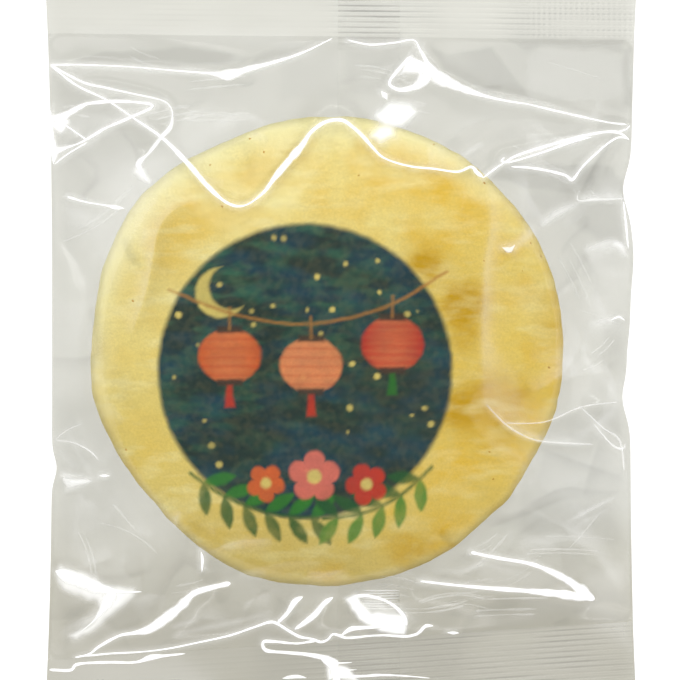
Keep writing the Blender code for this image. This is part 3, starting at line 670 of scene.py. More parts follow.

# %% [markdown]
# ## Facets
# Between its creases film lies in nearly flat facets. Each faces its own part of the room, so one looks a
# little lighter and the next a little darker, with a fairly crisp edge. That light and shade is painted
# into the film. A facet is an outline with the width of its soft edge and a tone: positive turns the film
# lighter, negative darker.

# %% Facet tones
FACETS = [  # tone, soft edge in millimetres, corners
    # along the upper end seal
    (-0.02, 0.4, [(-47, 47.8), (-44.4, 50.3), (-41.9, 51.6), (-36.4, 52.6), (-31.4, 52.4), (-25.2, 50.8),
        (-17.4, 49.1), (-19, 47.2), (-36.9, 47), (-47, 47)]),
    (-0.10, 0.3, [(-44.6, 47.8), (-40, 49), (-33.5, 49.7), (-26, 49.9), (-20.2, 49.4), (-15.2, 48),
        (-18.6, 46.6), (-41.9, 47.4)]),
    (-0.07, 0.3, [(-14.6, 48.2), (-10.4, 50.4), (-5, 51.5), (-1.6, 52), (-2.7, 50.6), (-8.5, 48.3),
        (-15.2, 46.4)]),
    (0.07, 1.0, [(-44, 53), (-8, 53), (-8, 51), (-14, 50.2), (-20, 50.6), (-27, 51.4), (-34, 52.6), (-42, 52)]),
    (-0.07, 0.6, [(.6, 52.4), (10.1, 52.4), (10.1, 42), (.6, 42)]),
    (0.05, 1.5, [(-3, 41.4), (6, 41.4), (5, 39), (-2, 38.6)]),
    (-0.10, 0.3, [(14.8, 50.2), (17.2, 48.8), (22.8, 49.4), (25, 49.9), (31.6, 41.6), (28, 42), (22, 43.2),
        (17, 46)]),
    (-0.04, 0.5, [(19.6, 49.2), (25, 49.9), (31.6, 41.6), (26.4, 42.6)]),
    (-0.06, 1.0, [(-10, 48), (-.6, 49.4), (-.6, 42), (-10, 41)]),
    (-0.05, 1.5, [(.4, 53), (17, 53), (17, 60), (.4, 60)]),
    (-0.10, 0.4, [(28, 51.2), (31, 49.4), (34, 50.2), (46.6, 49.2), (47, 51.4)]),
    (-0.04, 0.4, [(26, 50), (32, 49.4), (47.8, 48.4), (48.4, 39), (40, 40.4), (31.4, 41)]),
    (0.05, 0.3, [(31.6, 49), (34.4, 50), (46.2, 48.8), (47, 47.4), (47, 43), (46, 41.4), (36.8, 41),
        (31.4, 41.4), (31, 46)]),
    (-0.12, 0.4, [(47, 50), (48.4, 50), (48.4, 40), (47, 40.4)]),
    (-0.08, 2.0, [(28, 58), (48, 58), (48, 50), (28, 51)]),
    # right shoulder and side
    (-0.15, 0.4, [(24.8, 29.1), (28.5, 30.4), (45.5, 30.1), (47.6, 25.2), (39, 25.5), (31.6, 26.3),
        (25.1, 27.8)]),
    (-0.10, 0.5, [(31, 26), (38.6, 25.4), (39.4, 24), (33, 20), (30.4, 21.4)]),
    (-0.12, 0.6, [(39.6, 25), (47.4, 25), (47.8, 16.6), (44, 17.2), (38.6, 21)]),
    (0.05, 1.5, [(40, 14), (47, 15), (47, 4), (42, 2)]),
    (-0.05, 1.5, [(35, 23), (39, 24.5), (43, 19), (46.5, 17.6), (46.8, 13), (38, 12)]),
    (-0.06, 0.7, [(39.4, 15.4), (41, 15.6), (44, 9), (42.4, 8.6)]),
    (-0.07, 0.7, [(42.5, 5), (47, 5.4), (47.2, -1), (45, -1.2)]),
    (0.05, 0.8, [(40.6, -.5), (43, -.5), (45.6, -8.6), (40.6, -9.4)]),
    (-0.08, 0.4, [(40.8, -10.6), (46.4, -9.6), (46.6, -14.8), (44, -13.6)]),
    (-0.05, 0.5, [(32, -13.4), (39.6, -10.8), (45, -15.9), (34, -15.5)]),
    (0.05, 0.8, [(24.4, 1), (29, -4), (30.6, -11.5), (27.6, -12), (24.4, -9)]),
    (-0.07, 2.2, [(35, -10), (44, -10), (47, -30), (30, -30), (32, -18)]),
    (0.05, 1.2, [(30, -17), (46.8, -17.6), (46.6, -24), (38, -28), (33, -22)]),
    # left side
    (-0.05, 1.2, [(-47.6, 45), (-40, 41.4), (-30, 35), (-34, 30), (-42, 26), (-47.6, 29)]),
    (0.06, 1.0, [(-46.6, 40.6), (-36, 41), (-32, 39.6), (-41, 34.8), (-46, 33)]),
    (0.06, 1.4, [(-42, 31), (-36, 33), (-30, 30), (-35, 25), (-41, 25.6)]),
    (-0.06, 1.6, [(-47, 28), (-41, 24), (-40, 18), (-47, 17)]),
    (0.12, 2.2, [(-43, 20), (-35, 30), (-24, 38), (-16, 38), (-28, 28), (-38, 12)]),
    (0.06, 2.0, [(-47.8, 8), (-44, 9), (-40, 0), (-40, -7), (-47.8, -8)]),
    (-0.08, 2.0, [(-47.4, -9), (-39, -9), (-35, -22), (-37, -31), (-46.6, -33)]),
    # lower corners
    (0.07, 0.8, [(22, -34.6), (33, -37), (39, -40.4), (24, -39.6)]),
    (-0.07, 0.8, [(24, -29), (34, -26), (44, -26), (47.4, -33), (36, -31.6)]),
    (-0.08, 0.4, [(19.8, -47.6), (21, -45), (23.1, -42.7), (27, -41.7), (33.1, -42.2), (43.1, -43.9),
        (47.6, -44.6), (47.6, -45.6), (33, -47.2), (19.8, -48.2)]),
    (-0.08, 1.2, [(-20, -44), (-8, -42), (-8, -45), (-12, -46), (-22, -49), (-30, -50), (-27, -46)]),
    (-0.08, 2.2, [(-14, -46), (8, -45), (20, -42.5), (21, -57), (-14, -57)]),
    (0.11, 1.4, [(39.5, -38.4), (47.8, -36), (48.2, -50), (41, -45)]),
    (0.06, 1.2, [(31, -41.5), (41, -42.3), (44, -43.8), (32, -44)]),
    (-0.06, 1.5, [(31, -29.6), (40, -29.6), (40, -34), (31, -34)]),
    (0.04, 1.6, [(-46, -26), (-36, -24), (-30, -32), (-36, -39.5), (-46, -36)]),
    (-0.10, 0.8, [(-46, -43), (-43, -43), (-42, -46), (-46, -50)]),
    (-0.08, 1.0, [(-34, -41.4), (-28, -40), (-34, -47), (-41, -48)]),
    (0.10, 2.4, [(-48.4, -51), (-27, -50.6), (-22, -56), (-22, -62), (-48.4, -62)]),
    (0.70, 0.6, [(-47.4, -38), (-46.6, -36.9), (-43.5, -37.5), (-39.4, -39.3), (-34.6, -40.4),
        (-34.6, -41.1), (-36.6, -43.3), (-39.9, -45.8), (-44.1, -48.3), (-44.7, -48), (-41, -45.5),
        (-39.4, -43.6), (-40.2, -42.2), (-42.7, -41.6), (-46, -40.2), (-47.1, -39.1)]),
    # painted highlights
    (0.80, 0.3, [(11.6, 48.5), (13, 47.3), (13.8, 46.1), (12.5, 45.9), (10.5, 45.8), (9.9, 45.4)]),
    (0.80, 0.35, [(-2.4, -52), (-.5, -53.4), (.8, -54), (1.8, -54.8), (2.8, -55.6), (-1.9, -55.6)]),
    (0.90, 0.35, [(-48.9, 39.6), (-47.7, 38.2), (-46.4, 38.6), (-45.4, 37.2), (-46.9, 35.7), (-48, 36.6),
        (-48.6, 36.8)]),
    (0.90, 0.30, [(-48.8, 36.8), (-48.1, 34.4), (-47.6, 33.4), (-45.4, 33.4), (-47, 32.4), (-48.1, 30.8),
        (-48.6, 32.8)]),
    (0.50, 0.35, [(-34.2, 30.2), (-33, 29.5), (-32, 27.4), (-33.3, 28.2), (-34.4, 29.2)]),
    (0.14, 1.2, [(-45.5, 23), (-42, 22.9), (-41.5, 21), (-44.6, 20.8)]),
    (0.30, 0.4, [(3.3, -41.6), (5, -41.6), (7.1, -42.4), (9.2, -43.1), (9.6, -44.4), (5, -44), (3.7, -43.3)]),
    (0.20, 0.7, [(26.8, 16.8), (29, 17.6), (31.6, 19.6), (32, 18.8), (28.6, 15.8)]),
    (0.30, 0.5, [(-46.5, -21.3), (-41.4, -22.2), (-43.5, -23.4), (-45.9, -23.9)]),
    (1.30, 0.9, [(6.2, 38.4), (8.2, 39.8), (11.4, 39.8), (12, 39), (9.8, 37.7), (7.4, 37.4)]),
    (1.00, 0.8, [(5.2, 34.8), (6.6, 36), (8.2, 36.2), (8.4, 35.2), (6.4, 34.2)]),
    (1.00, 0.4, [(12.8, 47.4), (14.8, 46.8), (17, 44.8), (19, 43.2), (16.5, 43.8), (14, 44.5), (12.3, 43.8),
        (13, 45.3)]),
    (0.95, 0.35, [(.9, -41.7), (2.4, -41.3), (3.1, -42.7), (4.8, -44.2), (9.3, -44.5), (10.4, -44.4),
        (10.8, -46), (10.4, -47.9), (6.5, -47.6), (4.5, -46.1), (1.6, -43.8)]),
]
print("facets:", len(FACETS))

# %% Tones of the facets
FACET_WAVER = 0.9
WAVER_WIDTH = 2.6


def polygon(x, y, corners):
    """Signed distance to an outline with straight sides, negative inside."""
    nearest, inside = np.full(x.shape, FAR), np.zeros(x.shape, bool)
    for (ax, ay), (bx, by) in zip(corners, corners[1:] + corners[:1]):
        t = unit(((x - ax) * (bx - ax) + (y - ay) * (by - ay)) / ((bx - ax) ** 2 + (by - ay) ** 2))
        nearest = np.minimum(nearest, np.hypot(x - mix(ax, bx, t), y - mix(ay, by, t)))
        if ay != by:
            inside ^= ((y > ay) != (y > by)) & (x < ax + (bx - ax) * (y - ay) / (by - ay))
    return np.where(inside, -nearest, nearest)


def facet_tones(x, y):
    """Painted haze and painted shade that the facets add. Their straight sides waver a little."""
    lighter, shade = np.zeros(x.shape), np.zeros(x.shape)
    waved_x, waved_y = (along + FACET_WAVER * (uneven(x, y, WAVER_WIDTH, seed) - 0.5)
                        for along, seed in ((x, 15), (y, 16)))
    for tone, soft_edge, corners in FACETS:
        cover = 0.5 - 0.5 * np.tanh(polygon(waved_x, waved_y, corners) / soft_edge)
        if tone > 0.0:
            lighter += tone * cover
        else:
            shade -= tone * cover
    return lighter, shade


sample = facet_tones(np.full(1, 30.0), np.full(1, 29.0))
print("haze and shade below the right shoulder:", [round(float(tone[0]), 2) for tone in sample])

# %% [markdown]
# Softer folds run between the facets, and the light and shade they catch is painted into the film. Each is
# a line with its own reach of tone to the left and to the right of the way it is drawn, so one side ends
# sharply and the other fades. The ones that stand out are named; the rest come from a fixed seed: level
# near the end seals, slanting at the sides, none over the middle.

# %% Soft folds
WISPS = {  # tone, reach to the left and to the right in millimetres, places
    "contact_left": (0.12, 0.4, 1.8, [(-23.5, 24.5), (-28, 22.8), (-30.5, 19.5), (-31.4, 15), (-32.5, 9.5),
        (-35, 2)]),
    "contact_shade": (-0.08, 2.6, 0.3, [(-23.3, 24), (-27.6, 22.4), (-30, 19.3), (-30.9, 15), (-32, 9.5),
        (-34.4, 2)]),
    "contact_right": (0.12, 1.6, 0.6, [(24, 28), (24.9, 24.5), (25.1, 19.5), (24.2, 14), (23.9, 7.8),
        (23.7, 1), (23.9, -7), (23.8, -9.6)]),
    "hip_glow": (0.14, 1.6, 0.4, [(23.8, -9), (27.2, -12.8), (30.5, -14.8), (36, -15.9), (42, -16.2)]),
    "pleat_glow": (0.22, 0.5, 1.4, [(47.4, 24.8), (43.5, 24.9), (39.6, 24.6)]),
    "pleat_tail": (0.30, 0.5, 0.9, [(39.6, 23.9), (37.4, 22.9), (35.2, 21.7), (33, 20)]),
    "side_sheen": (0.28, 0.5, 1.6, [(40.2, 15.9), (42.8, 17), (45.5, 17.6), (47.4, 16.4)]),
    "sheen_tip": (0.40, 0.3, 0.6, [(45.2, 17.4), (46.8, 16.8), (47.6, 15)]),
    "dash_sheen": (0.14, 0.5, 0.9, [(40.8, 3.3), (43, 4.2), (45.2, 4.6)]),
    "side_rise": (0.10, 0.5, 0.8, [(41, -3.6), (40.3, 0), (41, 3)]),
    "shoulder_shade": (-0.05, 1.8, 0.5, [(21.5, 33.2), (24.2, 34.3), (31.6, 34.9), (35.2, 35), (39, 37)]),
    "over_shoulder_dash": (0.14, 0.5, 0.5, [(19.4, 31.2), (21.6, 32.7), (23.6, 34)]),
    "corner_sweep": (0.14, 1.6, 0.9, [(27.5, -32.8), (33, -32.2), (38, -31.9), (41.8, -33.4), (44.6, -37),
        (47, -40.8)]),
    "corner_dash": (0.20, 0.35, 0.35, [(37.6, -29.2), (41.6, -27), (46.6, -24.6)]),
    "corner_dash_twin": (0.10, 0.3, 0.6, [(38.4, -30), (42, -28.2), (45.6, -26.2)]),
    "fan_1": (-0.11, 0.2, 1.3, [(33, -16.8), (40, -19.4), (47.2, -21.8)]),
    "fan_2": (-0.10, 0.25, 1.0, [(29, -27.4), (35, -24.2), (37.6, -23.4), (41, -23.9), (47, -24.4)]),
    "fan_3": (-0.12, 1.0, 0.3, [(24, -30), (30, -28), (36.5, -25.4), (40, -25)]),
    "fan_4": (0.09, 0.8, 0.3, [(26, -27.6), (31, -27), (38, -30.4), (44, -33)]),
    "wave_streak": (0.14, 0.4, 0.6, [(-28, -48.4), (-24.5, -47.2), (-17, -45.6), (-11, -43.9)]),
    "streak_left": (0.16, 0.4, 0.4, [(-28.2, -46.8), (-26, -46), (-23.6, -45.4)]),
    "corner_glow": (0.15, 1.2, 1.4, [(-37, -40.6), (-39.6, -43.6), (-43, -47), (-45.6, -49)]),
    "corner_dark": (-0.10, 0.8, 0.5, [(-31, -37), (-38, -38.4), (-41, -37), (-36, -34.6)]),
    "crown_left_sheen": (0.08, 0.5, 0.9, [(2, 44.6), (6.5, 46.2), (10.5, 47.6)]),
    "crown_left_dark": (-0.07, 1.2, 0.4, [(-1, 43.6), (4, 45), (9, 48)]),
}
print("named folds:", len(WISPS))

# %% Random folds
FOLD_COUNT = 230
FOLD_SEED = 23
FOLD_FIELD = [(-46, 46), (-48, 51)]  # X and Y between which a fold's middle is drawn
FOLDS_OFF_CENTRE = 35.0
FOLDS_BELOW = 44.0
LEVEL_BEYOND = 34.0  # Y past which folds lie nearly level
WISP_BOX = 3.0  # a fold is worked out this many reaches to either side
WISP_TAPER, WISP_FALL = 0.6, 1.6  # how it thins towards its ends, and fades with distance


def add_wisp(tones, x, y, tone, left_reach, right_reach, places):
    """Adds the painted tone of one fold, with its own reach to either side."""
    curve = smooth_route(places)
    near = near_route(x, y, curve, WISP_BOX * max(left_reach, right_reach))
    distance, along, left = distance_to_route(x[near], y[near], curve)
    reach = np.where(left, left_reach, right_reach)
    body = np.sin(math.pi * unit(along)) ** WISP_TAPER
    tones[near] += tone * body * np.exp(-(distance / reach) ** WISP_FALL)


def bent(x, y, heading, run, off):
    """The point that lies so far along and beside a line through X, Y."""
    return (x + run * math.cos(heading) - off * math.sin(heading),
            y + run * math.sin(heading) + off * math.cos(heading))


def random_folds():
    """Folds like the named ones, anywhere between the cracker and the bag's edges, each with a painted tone."""
    dice = np.random.default_rng(FOLD_SEED)
    folds = []
    while len(folds) < FOLD_COUNT:
        x, y = (dice.uniform(*ends) for ends in FOLD_FIELD)
        if off_centre(x, y) < FOLDS_OFF_CENTRE or y > FOLDS_BELOW:
            continue
        level = abs(y) > LEVEL_BEYOND
        lean = dice.normal(6.0, 14.0) if level else dice.choice([-1.0, 1.0]) * dice.normal(48.0, 20.0)
        half, bend = dice.uniform(1.5, 7.0), dice.normal(0.0, 0.1)
        places = [bent(x, y, math.radians(lean), run, bend * run * run) for run in (-half, 0.0, half)]
        reach = [dice.uniform(0.2, 0.4), dice.uniform(0.6, 2.4)]
        if dice.random() < 0.5:
            reach.reverse()
        folds.append((dice.normal(0.0, 0.06), *reach, places))
    return folds


# painted light and shade of all folds: positive tones go to white, negative ones to shade
def soft_tones(x, y):
    tones = np.zeros(x.shape)
    for fold in [*WISPS.values(), *random_folds()]:
        add_wisp(tones, x, y, *fold)
    return tones


print("soft folds:", len(WISPS) + FOLD_COUNT)

# %% Front and back sheets
FRONT_COLUMNS, FRONT_ROWS = 300, 312
BACK_COLUMNS, BACK_ROWS = 136, 142
PAINTED_TOP_LIGHT = 0.055  # painted light: how much clearer the film over the cracker's upper part is made, so that it reads brighter
PAINTED_TOP_LIGHT_FROM, PAINTED_TOP_LIGHT_FADE = 14.0, 12.0  # from this Y upwards, fully so this much further
RIM_FADE = 1.5


def sheet_points(columns, rows):
    return bag_point(*np.meshgrid(np.linspace(0.0, 1.0, columns + 1), np.linspace(0.0, 1.0, rows + 1)))


def add_sheet(mesh):
    sheet = bpy.data.objects.new(mesh.name, mesh)
    mesh.materials.append(clear_film)
    add_piece(sheet)


def add_film_sheets():
    x, y = sheet_points(FRONT_COLUMNS, FRONT_ROWS)
    z, white = front_film(x, y)
    lighter, shade = facet_tones(x, y)
    tones = soft_tones(x, y)
    # white: painted crest highlights, painted lighter facets and folds; shade: painted darker facets and folds,
    # less where the painted top light clears the film
    white = unit(np.maximum(white, lighter) + np.maximum(tones, 0.0))
    inside = CRACKER_RADIUS - off_centre(x, y)
    shade = shade - PAINTED_TOP_LIGHT * unit((y - PAINTED_TOP_LIGHT_FROM) / PAINTED_TOP_LIGHT_FADE) * unit(inside / RIM_FADE)
    add_sheet(grid_mesh("film_front", x, y, z, white=white, shade=shade + np.maximum(-tones, 0.0)))
    print("front film height, mm:", round(float(z.min()), 1), "to", round(float(z.max()), 1))
    x, y = sheet_points(BACK_COLUMNS, BACK_ROWS)
    back_mesh = grid_mesh("film_back", x, y, back_film(x, y), white=0.0 * x, shade=0.0 * x)
    back_mesh.flip_normals()
    add_sheet(back_mesh)


add_film_sheets()

# %% [markdown]
# ## Crimped seals
# Heated jaws press the end seals and the back seam into fine ribs. Ribs repeat, so Geometry Nodes make
# them: each vertex of a smooth strip knows how far along the run of ribs it lies, and the tree lifts or
# lowers it by a sine of that distance.

# %% Rib tree
def geometry_tree(name, sizes):
    """A new tree with geometry in and out, one named input for each size, and a material."""
    inputs = {"Geometry": "Geometry", **sizes, "Material": "Material"}
    return new_group(name, "GeometryNodeTree", inputs, {"Geometry": "Geometry"})


def end_tree(tree, geometry, given, output):
    """Realizes instances and sets the material, as every tree here ends."""
    real = add_node(tree, "GeometryNodeRealizeInstances", {0: geometry}).outputs[0]
    dressed = add_node(tree, "GeometryNodeSetMaterial", {"Geometry": real, "Material": given["Material"]})
    fill(tree, output, {0: dressed.outputs[0]})
    return tree


def run_tree(tree, name, mesh, values):
    """Runs a tree on a mesh and keeps the result as a plain mesh on a new object."""
    holder = bpy.data.objects.new(name, mesh)
    bpy.context.scene.collection.objects.link(holder)
    modifier = holder.modifiers.new("nodes", "NODES")
    modifier.node_group = tree
    for item in tree.interface.items_tree:
        if item.in_out == "INPUT" and item.name in values:
            modifier[item.identifier] = values[item.name]
    evaluated = holder.evaluated_get(bpy.context.evaluated_depsgraph_get())
    result = bpy.data.meshes.new_from_object(evaluated)
    holder.modifiers.clear()
    holder.data = result
    result.name = name
    return holder


def named_field(tree, label):
    field = add_node(tree, "GeometryNodeInputNamedAttribute", {"Name": label}, data_type="FLOAT")
    return field.outputs["Attribute"]


def moved(tree, geometry, offset):
    return add_node(tree, "GeometryNodeSetPosition", {"Geometry": geometry, "Offset": offset}).outputs[0]


def rib_tree():
    """Lifts each vertex by depth * sin(turn * rib_run / pitch), less where rib_hold is under 1."""
    tree, given, output = geometry_tree("press_ribs", {"Pitch": "Float", "Depth": "Float"})
    turns = link_math(tree, "DIVIDE", named_field(tree, "rib_run"), given["Pitch"])
    wave = link_math(tree, "SINE", link_math(tree, "MULTIPLY", turns, 2.0 * math.pi))
    lift = link_math(tree, "MULTIPLY", wave, given["Depth"])
    held = link_math(tree, "MULTIPLY", lift, named_field(tree, "rib_hold"))
    offset = add_node(tree, "ShaderNodeCombineXYZ", {"Z": held}).outputs[0]
    return end_tree(tree, moved(tree, given["Geometry"], offset), given, output)


press_ribs = rib_tree()
print("rib tree nodes:", len(press_ribs.nodes))

# %% End seals
RIB_PITCH = 0.9
RIB_DEPTH = 0.06
SEAL_LENGTH = 10.8
SEAL_COLUMNS, SEAL_ROWS = 480, 96
TOOTH_PITCH = 2.4
TOOTH_DEPTH = 0.9
TOOTH_SHARPNESS = 8  # keeps the teeth to the strip's outer rows
CROSSED_FROM = 28.0  # X from which the upper jaws' knurling cuts the ribs into dots
CROSSED_FADE = 6.0
PRESS_GAIN, PRESS_CUT = 1.9, 0.35  # how unevenly a press shows its painted rib highlight and shade
FAINT_PRESS = 0.05
LEAST_PRESS = 0.12
SEAL_UNEVEN = 0.05


def rib_wave(run):
    """1 on the crests of the ribs, 0 between them."""
    return 0.5 + 0.5 * np.sin(2.0 * math.pi * run / RIB_PITCH)


def rib_lines(x, y, run, most_white, most_shade, pressed, crossed=0.0):
    """Painted highlight on the ribs' crests and narrow painted shade between them, broken into dots where crossed
    is 1.
    """
    patchy = unit(pressed * (PRESS_GAIN * uneven(x * 0.3, y * 1.6, 3.0, 12, 3) - PRESS_CUT))
    patchy = patchy * (1.0 - crossed * rib_wave(x))
    return most_white * patchy * rib_wave(run) ** 2, most_shade * patchy * (1.0 - rib_wave(run)) ** 3


def press_marks(x, marks):
    """How hard the jaws pressed along a seal: a faint share all over, more at the named places."""
    return FAINT_PRESS + sum(share * np.exp(-((x - middle) / half_width) ** 2)
                             for middle, half_width, share in marks)


def ribbed_piece(name, mesh, depth, material):
    """Presses the ribs into a strip and adds it as a piece."""
    values = {"Pitch": RIB_PITCH * MM, "Depth": depth * MM, "Material": material}
    add_piece(run_tree(press_ribs, name, mesh, values))


def add_end_seal(name, line, outwards, most_white, most_shade, base_shade, marks):
    """A ribbed strip from the pillow to a saw-toothed cut edge."""
    across, out = np.meshgrid(np.linspace(0.0, 1.0, SEAL_COLUMNS + 1), np.linspace(0.0, 1.0, SEAL_ROWS + 1))
    straight_x = mix(-HALF_WIDTH, HALF_WIDTH, across)
    tooth = 2.0 * np.abs(straight_x / TOOTH_PITCH % 1.0 - 0.5) * TOOTH_DEPTH
    run = out * (SEAL_LENGTH - tooth * out ** TOOTH_SHARPNESS)
    y = seal_y(line, straight_x) + outwards * run
    x = mix(left_x(y), right_x(y), across)
    pressed = press_marks(x, marks)
    hold = unit(run / RIB_PITCH) * np.clip(pressed, LEAST_PRESS, 1.0)
    crossed = unit((outwards * x - CROSSED_FROM) / CROSSED_FADE)
    # the ribs' white is painted highlight and their shade painted shade; the facets add their painted tones too
    white, shade = rib_lines(x, y, run, most_white, most_shade, pressed, crossed)
    lighter, darker = facet_tones(x, y)
    shade = shade + darker + base_shade + SEAL_UNEVEN * (uneven(x * 0.25, y, 2.5, 14) - 0.5)
    rows = [x, y, seal_middle_z(x), run * MM, hold, white + lighter, shade]
    if outwards < 0:
        rows = [part[::-1] for part in rows]
    x, y, z, run, hold, white, shade = rows
    mesh = grid_mesh(name, x, y, z, rib_run=run, rib_hold=hold, white=white, shade=shade)
    ribbed_piece(name, mesh, RIB_DEPTH, sealed_film)


TOP_MARKS = [(5.0, 5.0, 1.0), (12.0, 5.0, 0.4), (38.0, 12.0, 0.8), (-28.0, 6.0, 0.1)]  # X, half width, share
BOTTOM_MARKS = [(20.0, 12.0, 0.6), (38.0, 12.0, 0.9), (3.0, 9.0, 0.5), (-20.0, 9.0, 0.15)]
# base_shade is painted shade, negative to paint the upper seal lighter
add_end_seal("end_seal_top", TOP_LINE, 1.0, 0.05, 0.28, -0.10, TOP_MARKS)
add_end_seal("end_seal_bottom", BOTTOM_LINE, -1.0, 0.05, 0.22, 0.03, BOTTOM_MARKS)

# %% Fin seal
FIN_LEFT = -0.5
FIN_RIGHT = 9.8
FIN_COLUMNS, FIN_ROWS = 20, 1000
FIN_DROP = 0.16
FIN_RIB_DEPTH = 0.1
FIN_UNEVEN = (0.7, 0.6)  # least depth of its ribs and what unevenness adds, as shares
SHOWS_ABOVE, SHOWS_BELOW = 49.0, -48.0  # Y past which its ribs show through the end seals
SHOW_FADE = 3.0
WINDOW = (-42.4, 1.4, 1.5, 2.0)  # where they show below the cracker: Y, half length, left end, fade


def under_film_z(x, y):
    """Height of the film that the fin seal lies under: the back sheet, or an end seal past its edge."""
    past = np.maximum(seal_y(BOTTOM_LINE, x) - y, y - seal_y(TOP_LINE, x))
    return np.where(past > 0.0, seal_middle_z(x), back_film(x, y))


def add_fin_seal():
    bottom = seal_y(BOTTOM_LINE, FIN_LEFT) - SEAL_LENGTH + TOOTH_DEPTH
    top = seal_y(TOP_LINE, FIN_LEFT) + SEAL_LENGTH - TOOTH_DEPTH
    x, y = np.meshgrid(np.linspace(FIN_LEFT, FIN_RIGHT, FIN_COLUMNS + 1), np.linspace(bottom, top, FIN_ROWS + 1))
    run = y - seal_y(TOP_LINE, x)
    hold = FIN_UNEVEN[0] + FIN_UNEVEN[1] * uneven(x, y, 10.0, 21)
    ends = unit((y - SHOWS_ABOVE) / SHOW_FADE) + 0.4 * unit((SHOWS_BELOW - y) / SHOW_FADE)
    middle, half_length, left_end, fade = WINDOW
    window = 2.0 * np.exp(-((y - middle) / half_length) ** 2) * unit((x - left_end) / fade)
    # painted highlight on the ribs' crests and painted shade between them, past the end seals and in the window
    # below the cracker
    white, shade = rib_lines(x, y, run, 0.06 + 0.3 * window, 0.2, ends + window)
    mesh = grid_mesh("fin_seal", x, y, under_film_z(x, y) - FIN_DROP,
                     rib_run=run * MM, rib_hold=hold, white=white, shade=shade)
    mesh.flip_normals()
    ribbed_piece("fin_seal", mesh, FIN_RIB_DEPTH, fin_film)


add_fin_seal()

# %% [markdown]
# ## Painted crest highlights
# A sharp crest mirrors the lamps over its whole length, and that bright line is painted here: Geometry
# Nodes lay one thin white ribbon on each crest. A polyline that carries its own width becomes a curve, and
# the curve is swept with a shallow roof-shaped profile.

# %% Crest ribbons
CREST_LIFT = 0.05
ROOF_DROP = 0.35
RIBBON_STEP = 0.25
EDGE_SOFTNESS = 3.0
RIBBON_WIDEN = 1.15
ROOF_STEPS = 4
TAPER = 3.0  # steps from a ribbon's end to its full width


def store(tree, geometry, label, value):
    """Keeps a field as a named attribute of each point."""
    stored = add_node(tree, "GeometryNodeStoreNamedAttribute", {
        "Name": label, "Geometry": geometry, "Value": value}, data_type="FLOAT", domain="POINT")
    return stored.outputs["Geometry"]


def ribbon_tree():
    """Sweeps a roof along every polyline, as wide as half_width says, its painted highlight fading to both edges.
    """
    tree, given, output = geometry_tree("crest_highlight_ribbons", {
        "Width Factor": "Float", "Roof Drop": "Float", "Edge Softness": "Float"})
    peak = add_node(tree, "ShaderNodeCombineXYZ", {"Y": link_math(tree, "MULTIPLY", given["Roof Drop"], -2.0)})
    roof = add_node(tree, "GeometryNodeCurveQuadraticBezier", {
        "Resolution": ROOF_STEPS, "Start": (-1.0, 0.0, 0.0), "Middle": peak.outputs[0], "End": (1.0, 0.0, 0.0)})
    share = add_node(tree, "GeometryNodeSplineParameter").outputs["Factor"]
    from_crest = link_math(tree, "ABSOLUTE", link_math(tree, "MULTIPLY_ADD", share, 2.0, -1.0))
    profile = store(tree, roof.outputs["Curve"], "from_crest", from_crest)
    line = add_node(tree, "GeometryNodeMeshToCurve", {"Mesh": given["Geometry"]}).outputs["Curve"]
    upright = add_node(tree, "GeometryNodeSetCurveNormal", {"Curve": line}, mode="Z_UP").outputs["Curve"]
    width = link_math(tree, "MULTIPLY", named_field(tree, "half_width"), given["Width Factor"])
    swept = add_node(tree, "GeometryNodeCurveToMesh", {
        "Curve": upright, "Profile Curve": profile, "Scale": width}).outputs["Mesh"]
    fading = link_math(tree, "POWER", named_field(tree, "from_crest"), given["Edge Softness"])
    white = link_math(tree, "MULTIPLY", named_field(tree, "white"), link_math(tree, "SUBTRACT", 1.0, fading))
    return end_tree(tree, store(tree, swept, "white", white), given, output)


crest_highlight_ribbons = ribbon_tree()
print("ribbon tree nodes:", len(crest_highlight_ribbons.nodes))

# %% Ribbons on the crests
def add_ribbons(name, routes):
    """Ribbons of painted highlight on the front sheet along routes of X, Y and width, each with its strength of
    white.
    """
    curves = [smooth_route(places, RIBBON_STEP) for strength, places in routes]
    lengths = [len(curve) for curve in curves]
    x, y, width = np.vstack(curves).T
    from_start = np.concatenate([np.arange(length) for length in lengths])
    to_end = np.repeat(lengths, lengths) - 1 - from_start
    taper = np.clip(np.minimum(from_start, to_end) / TAPER, 0.1, 1.0) ** 0.5
    ragged = 0.72 + 0.4 * uneven(x, y, 1.6, 31, 1) + 0.16 * uneven(x, y, 0.5, 32, 1)
    mesh = bpy.data.meshes.new(name)
    mesh.from_pydata(np.column_stack([x, y, front_film(x, y)[0] + CREST_LIFT]) * MM,
                     [(point, point + 1) for point in np.flatnonzero(to_end).tolist()], [])
    add_field(mesh, "half_width", np.maximum(width, 0.05) / 2.0 * taper * ragged * MM)
    add_field(mesh, "white", np.repeat([strength for strength, places in routes], lengths))
    add_field(mesh, "shade", np.zeros(len(x)))
    values = {"Width Factor": RIBBON_WIDEN, "Roof Drop": ROOF_DROP, "Edge Softness": EDGE_SOFTNESS,
              "Material": crest_highlight_film}
    ribbons = run_tree(crest_highlight_ribbons, name, mesh, values)
    ribbons.data.shade_smooth()
    add_piece(ribbons)


add_ribbons("crest_highlight_ribbons", [(strength, places) for rise, reach, strength, places in CREASES.values()])

# %% [markdown]
# Between the big creases the film is full of hairlines, each a faint ribbon of painted highlight. They come
# in small bundles of nearly parallel lines: level near the end seals, fanned out at the sides. Their places
# come from a fixed seed.

# %% Hairlines
BUNDLES = 80
HAIRLINE_SEED = 7
CLEAR_RADIUS = 40.0
CLEAR_FADE = 5.0
HAIRLINE_FIELD = [(-45, 45), (-46, 49)]  # X and Y between which a bundle's middle is drawn
HAIRLINE_EDGES = (46.5, -46.0, 51.0)  # no hairline passes these: X to either side, lowest Y, highest Y
HAIRLINE_WIDTH = (0.12, 0.45)
FAINTEST = 0.03


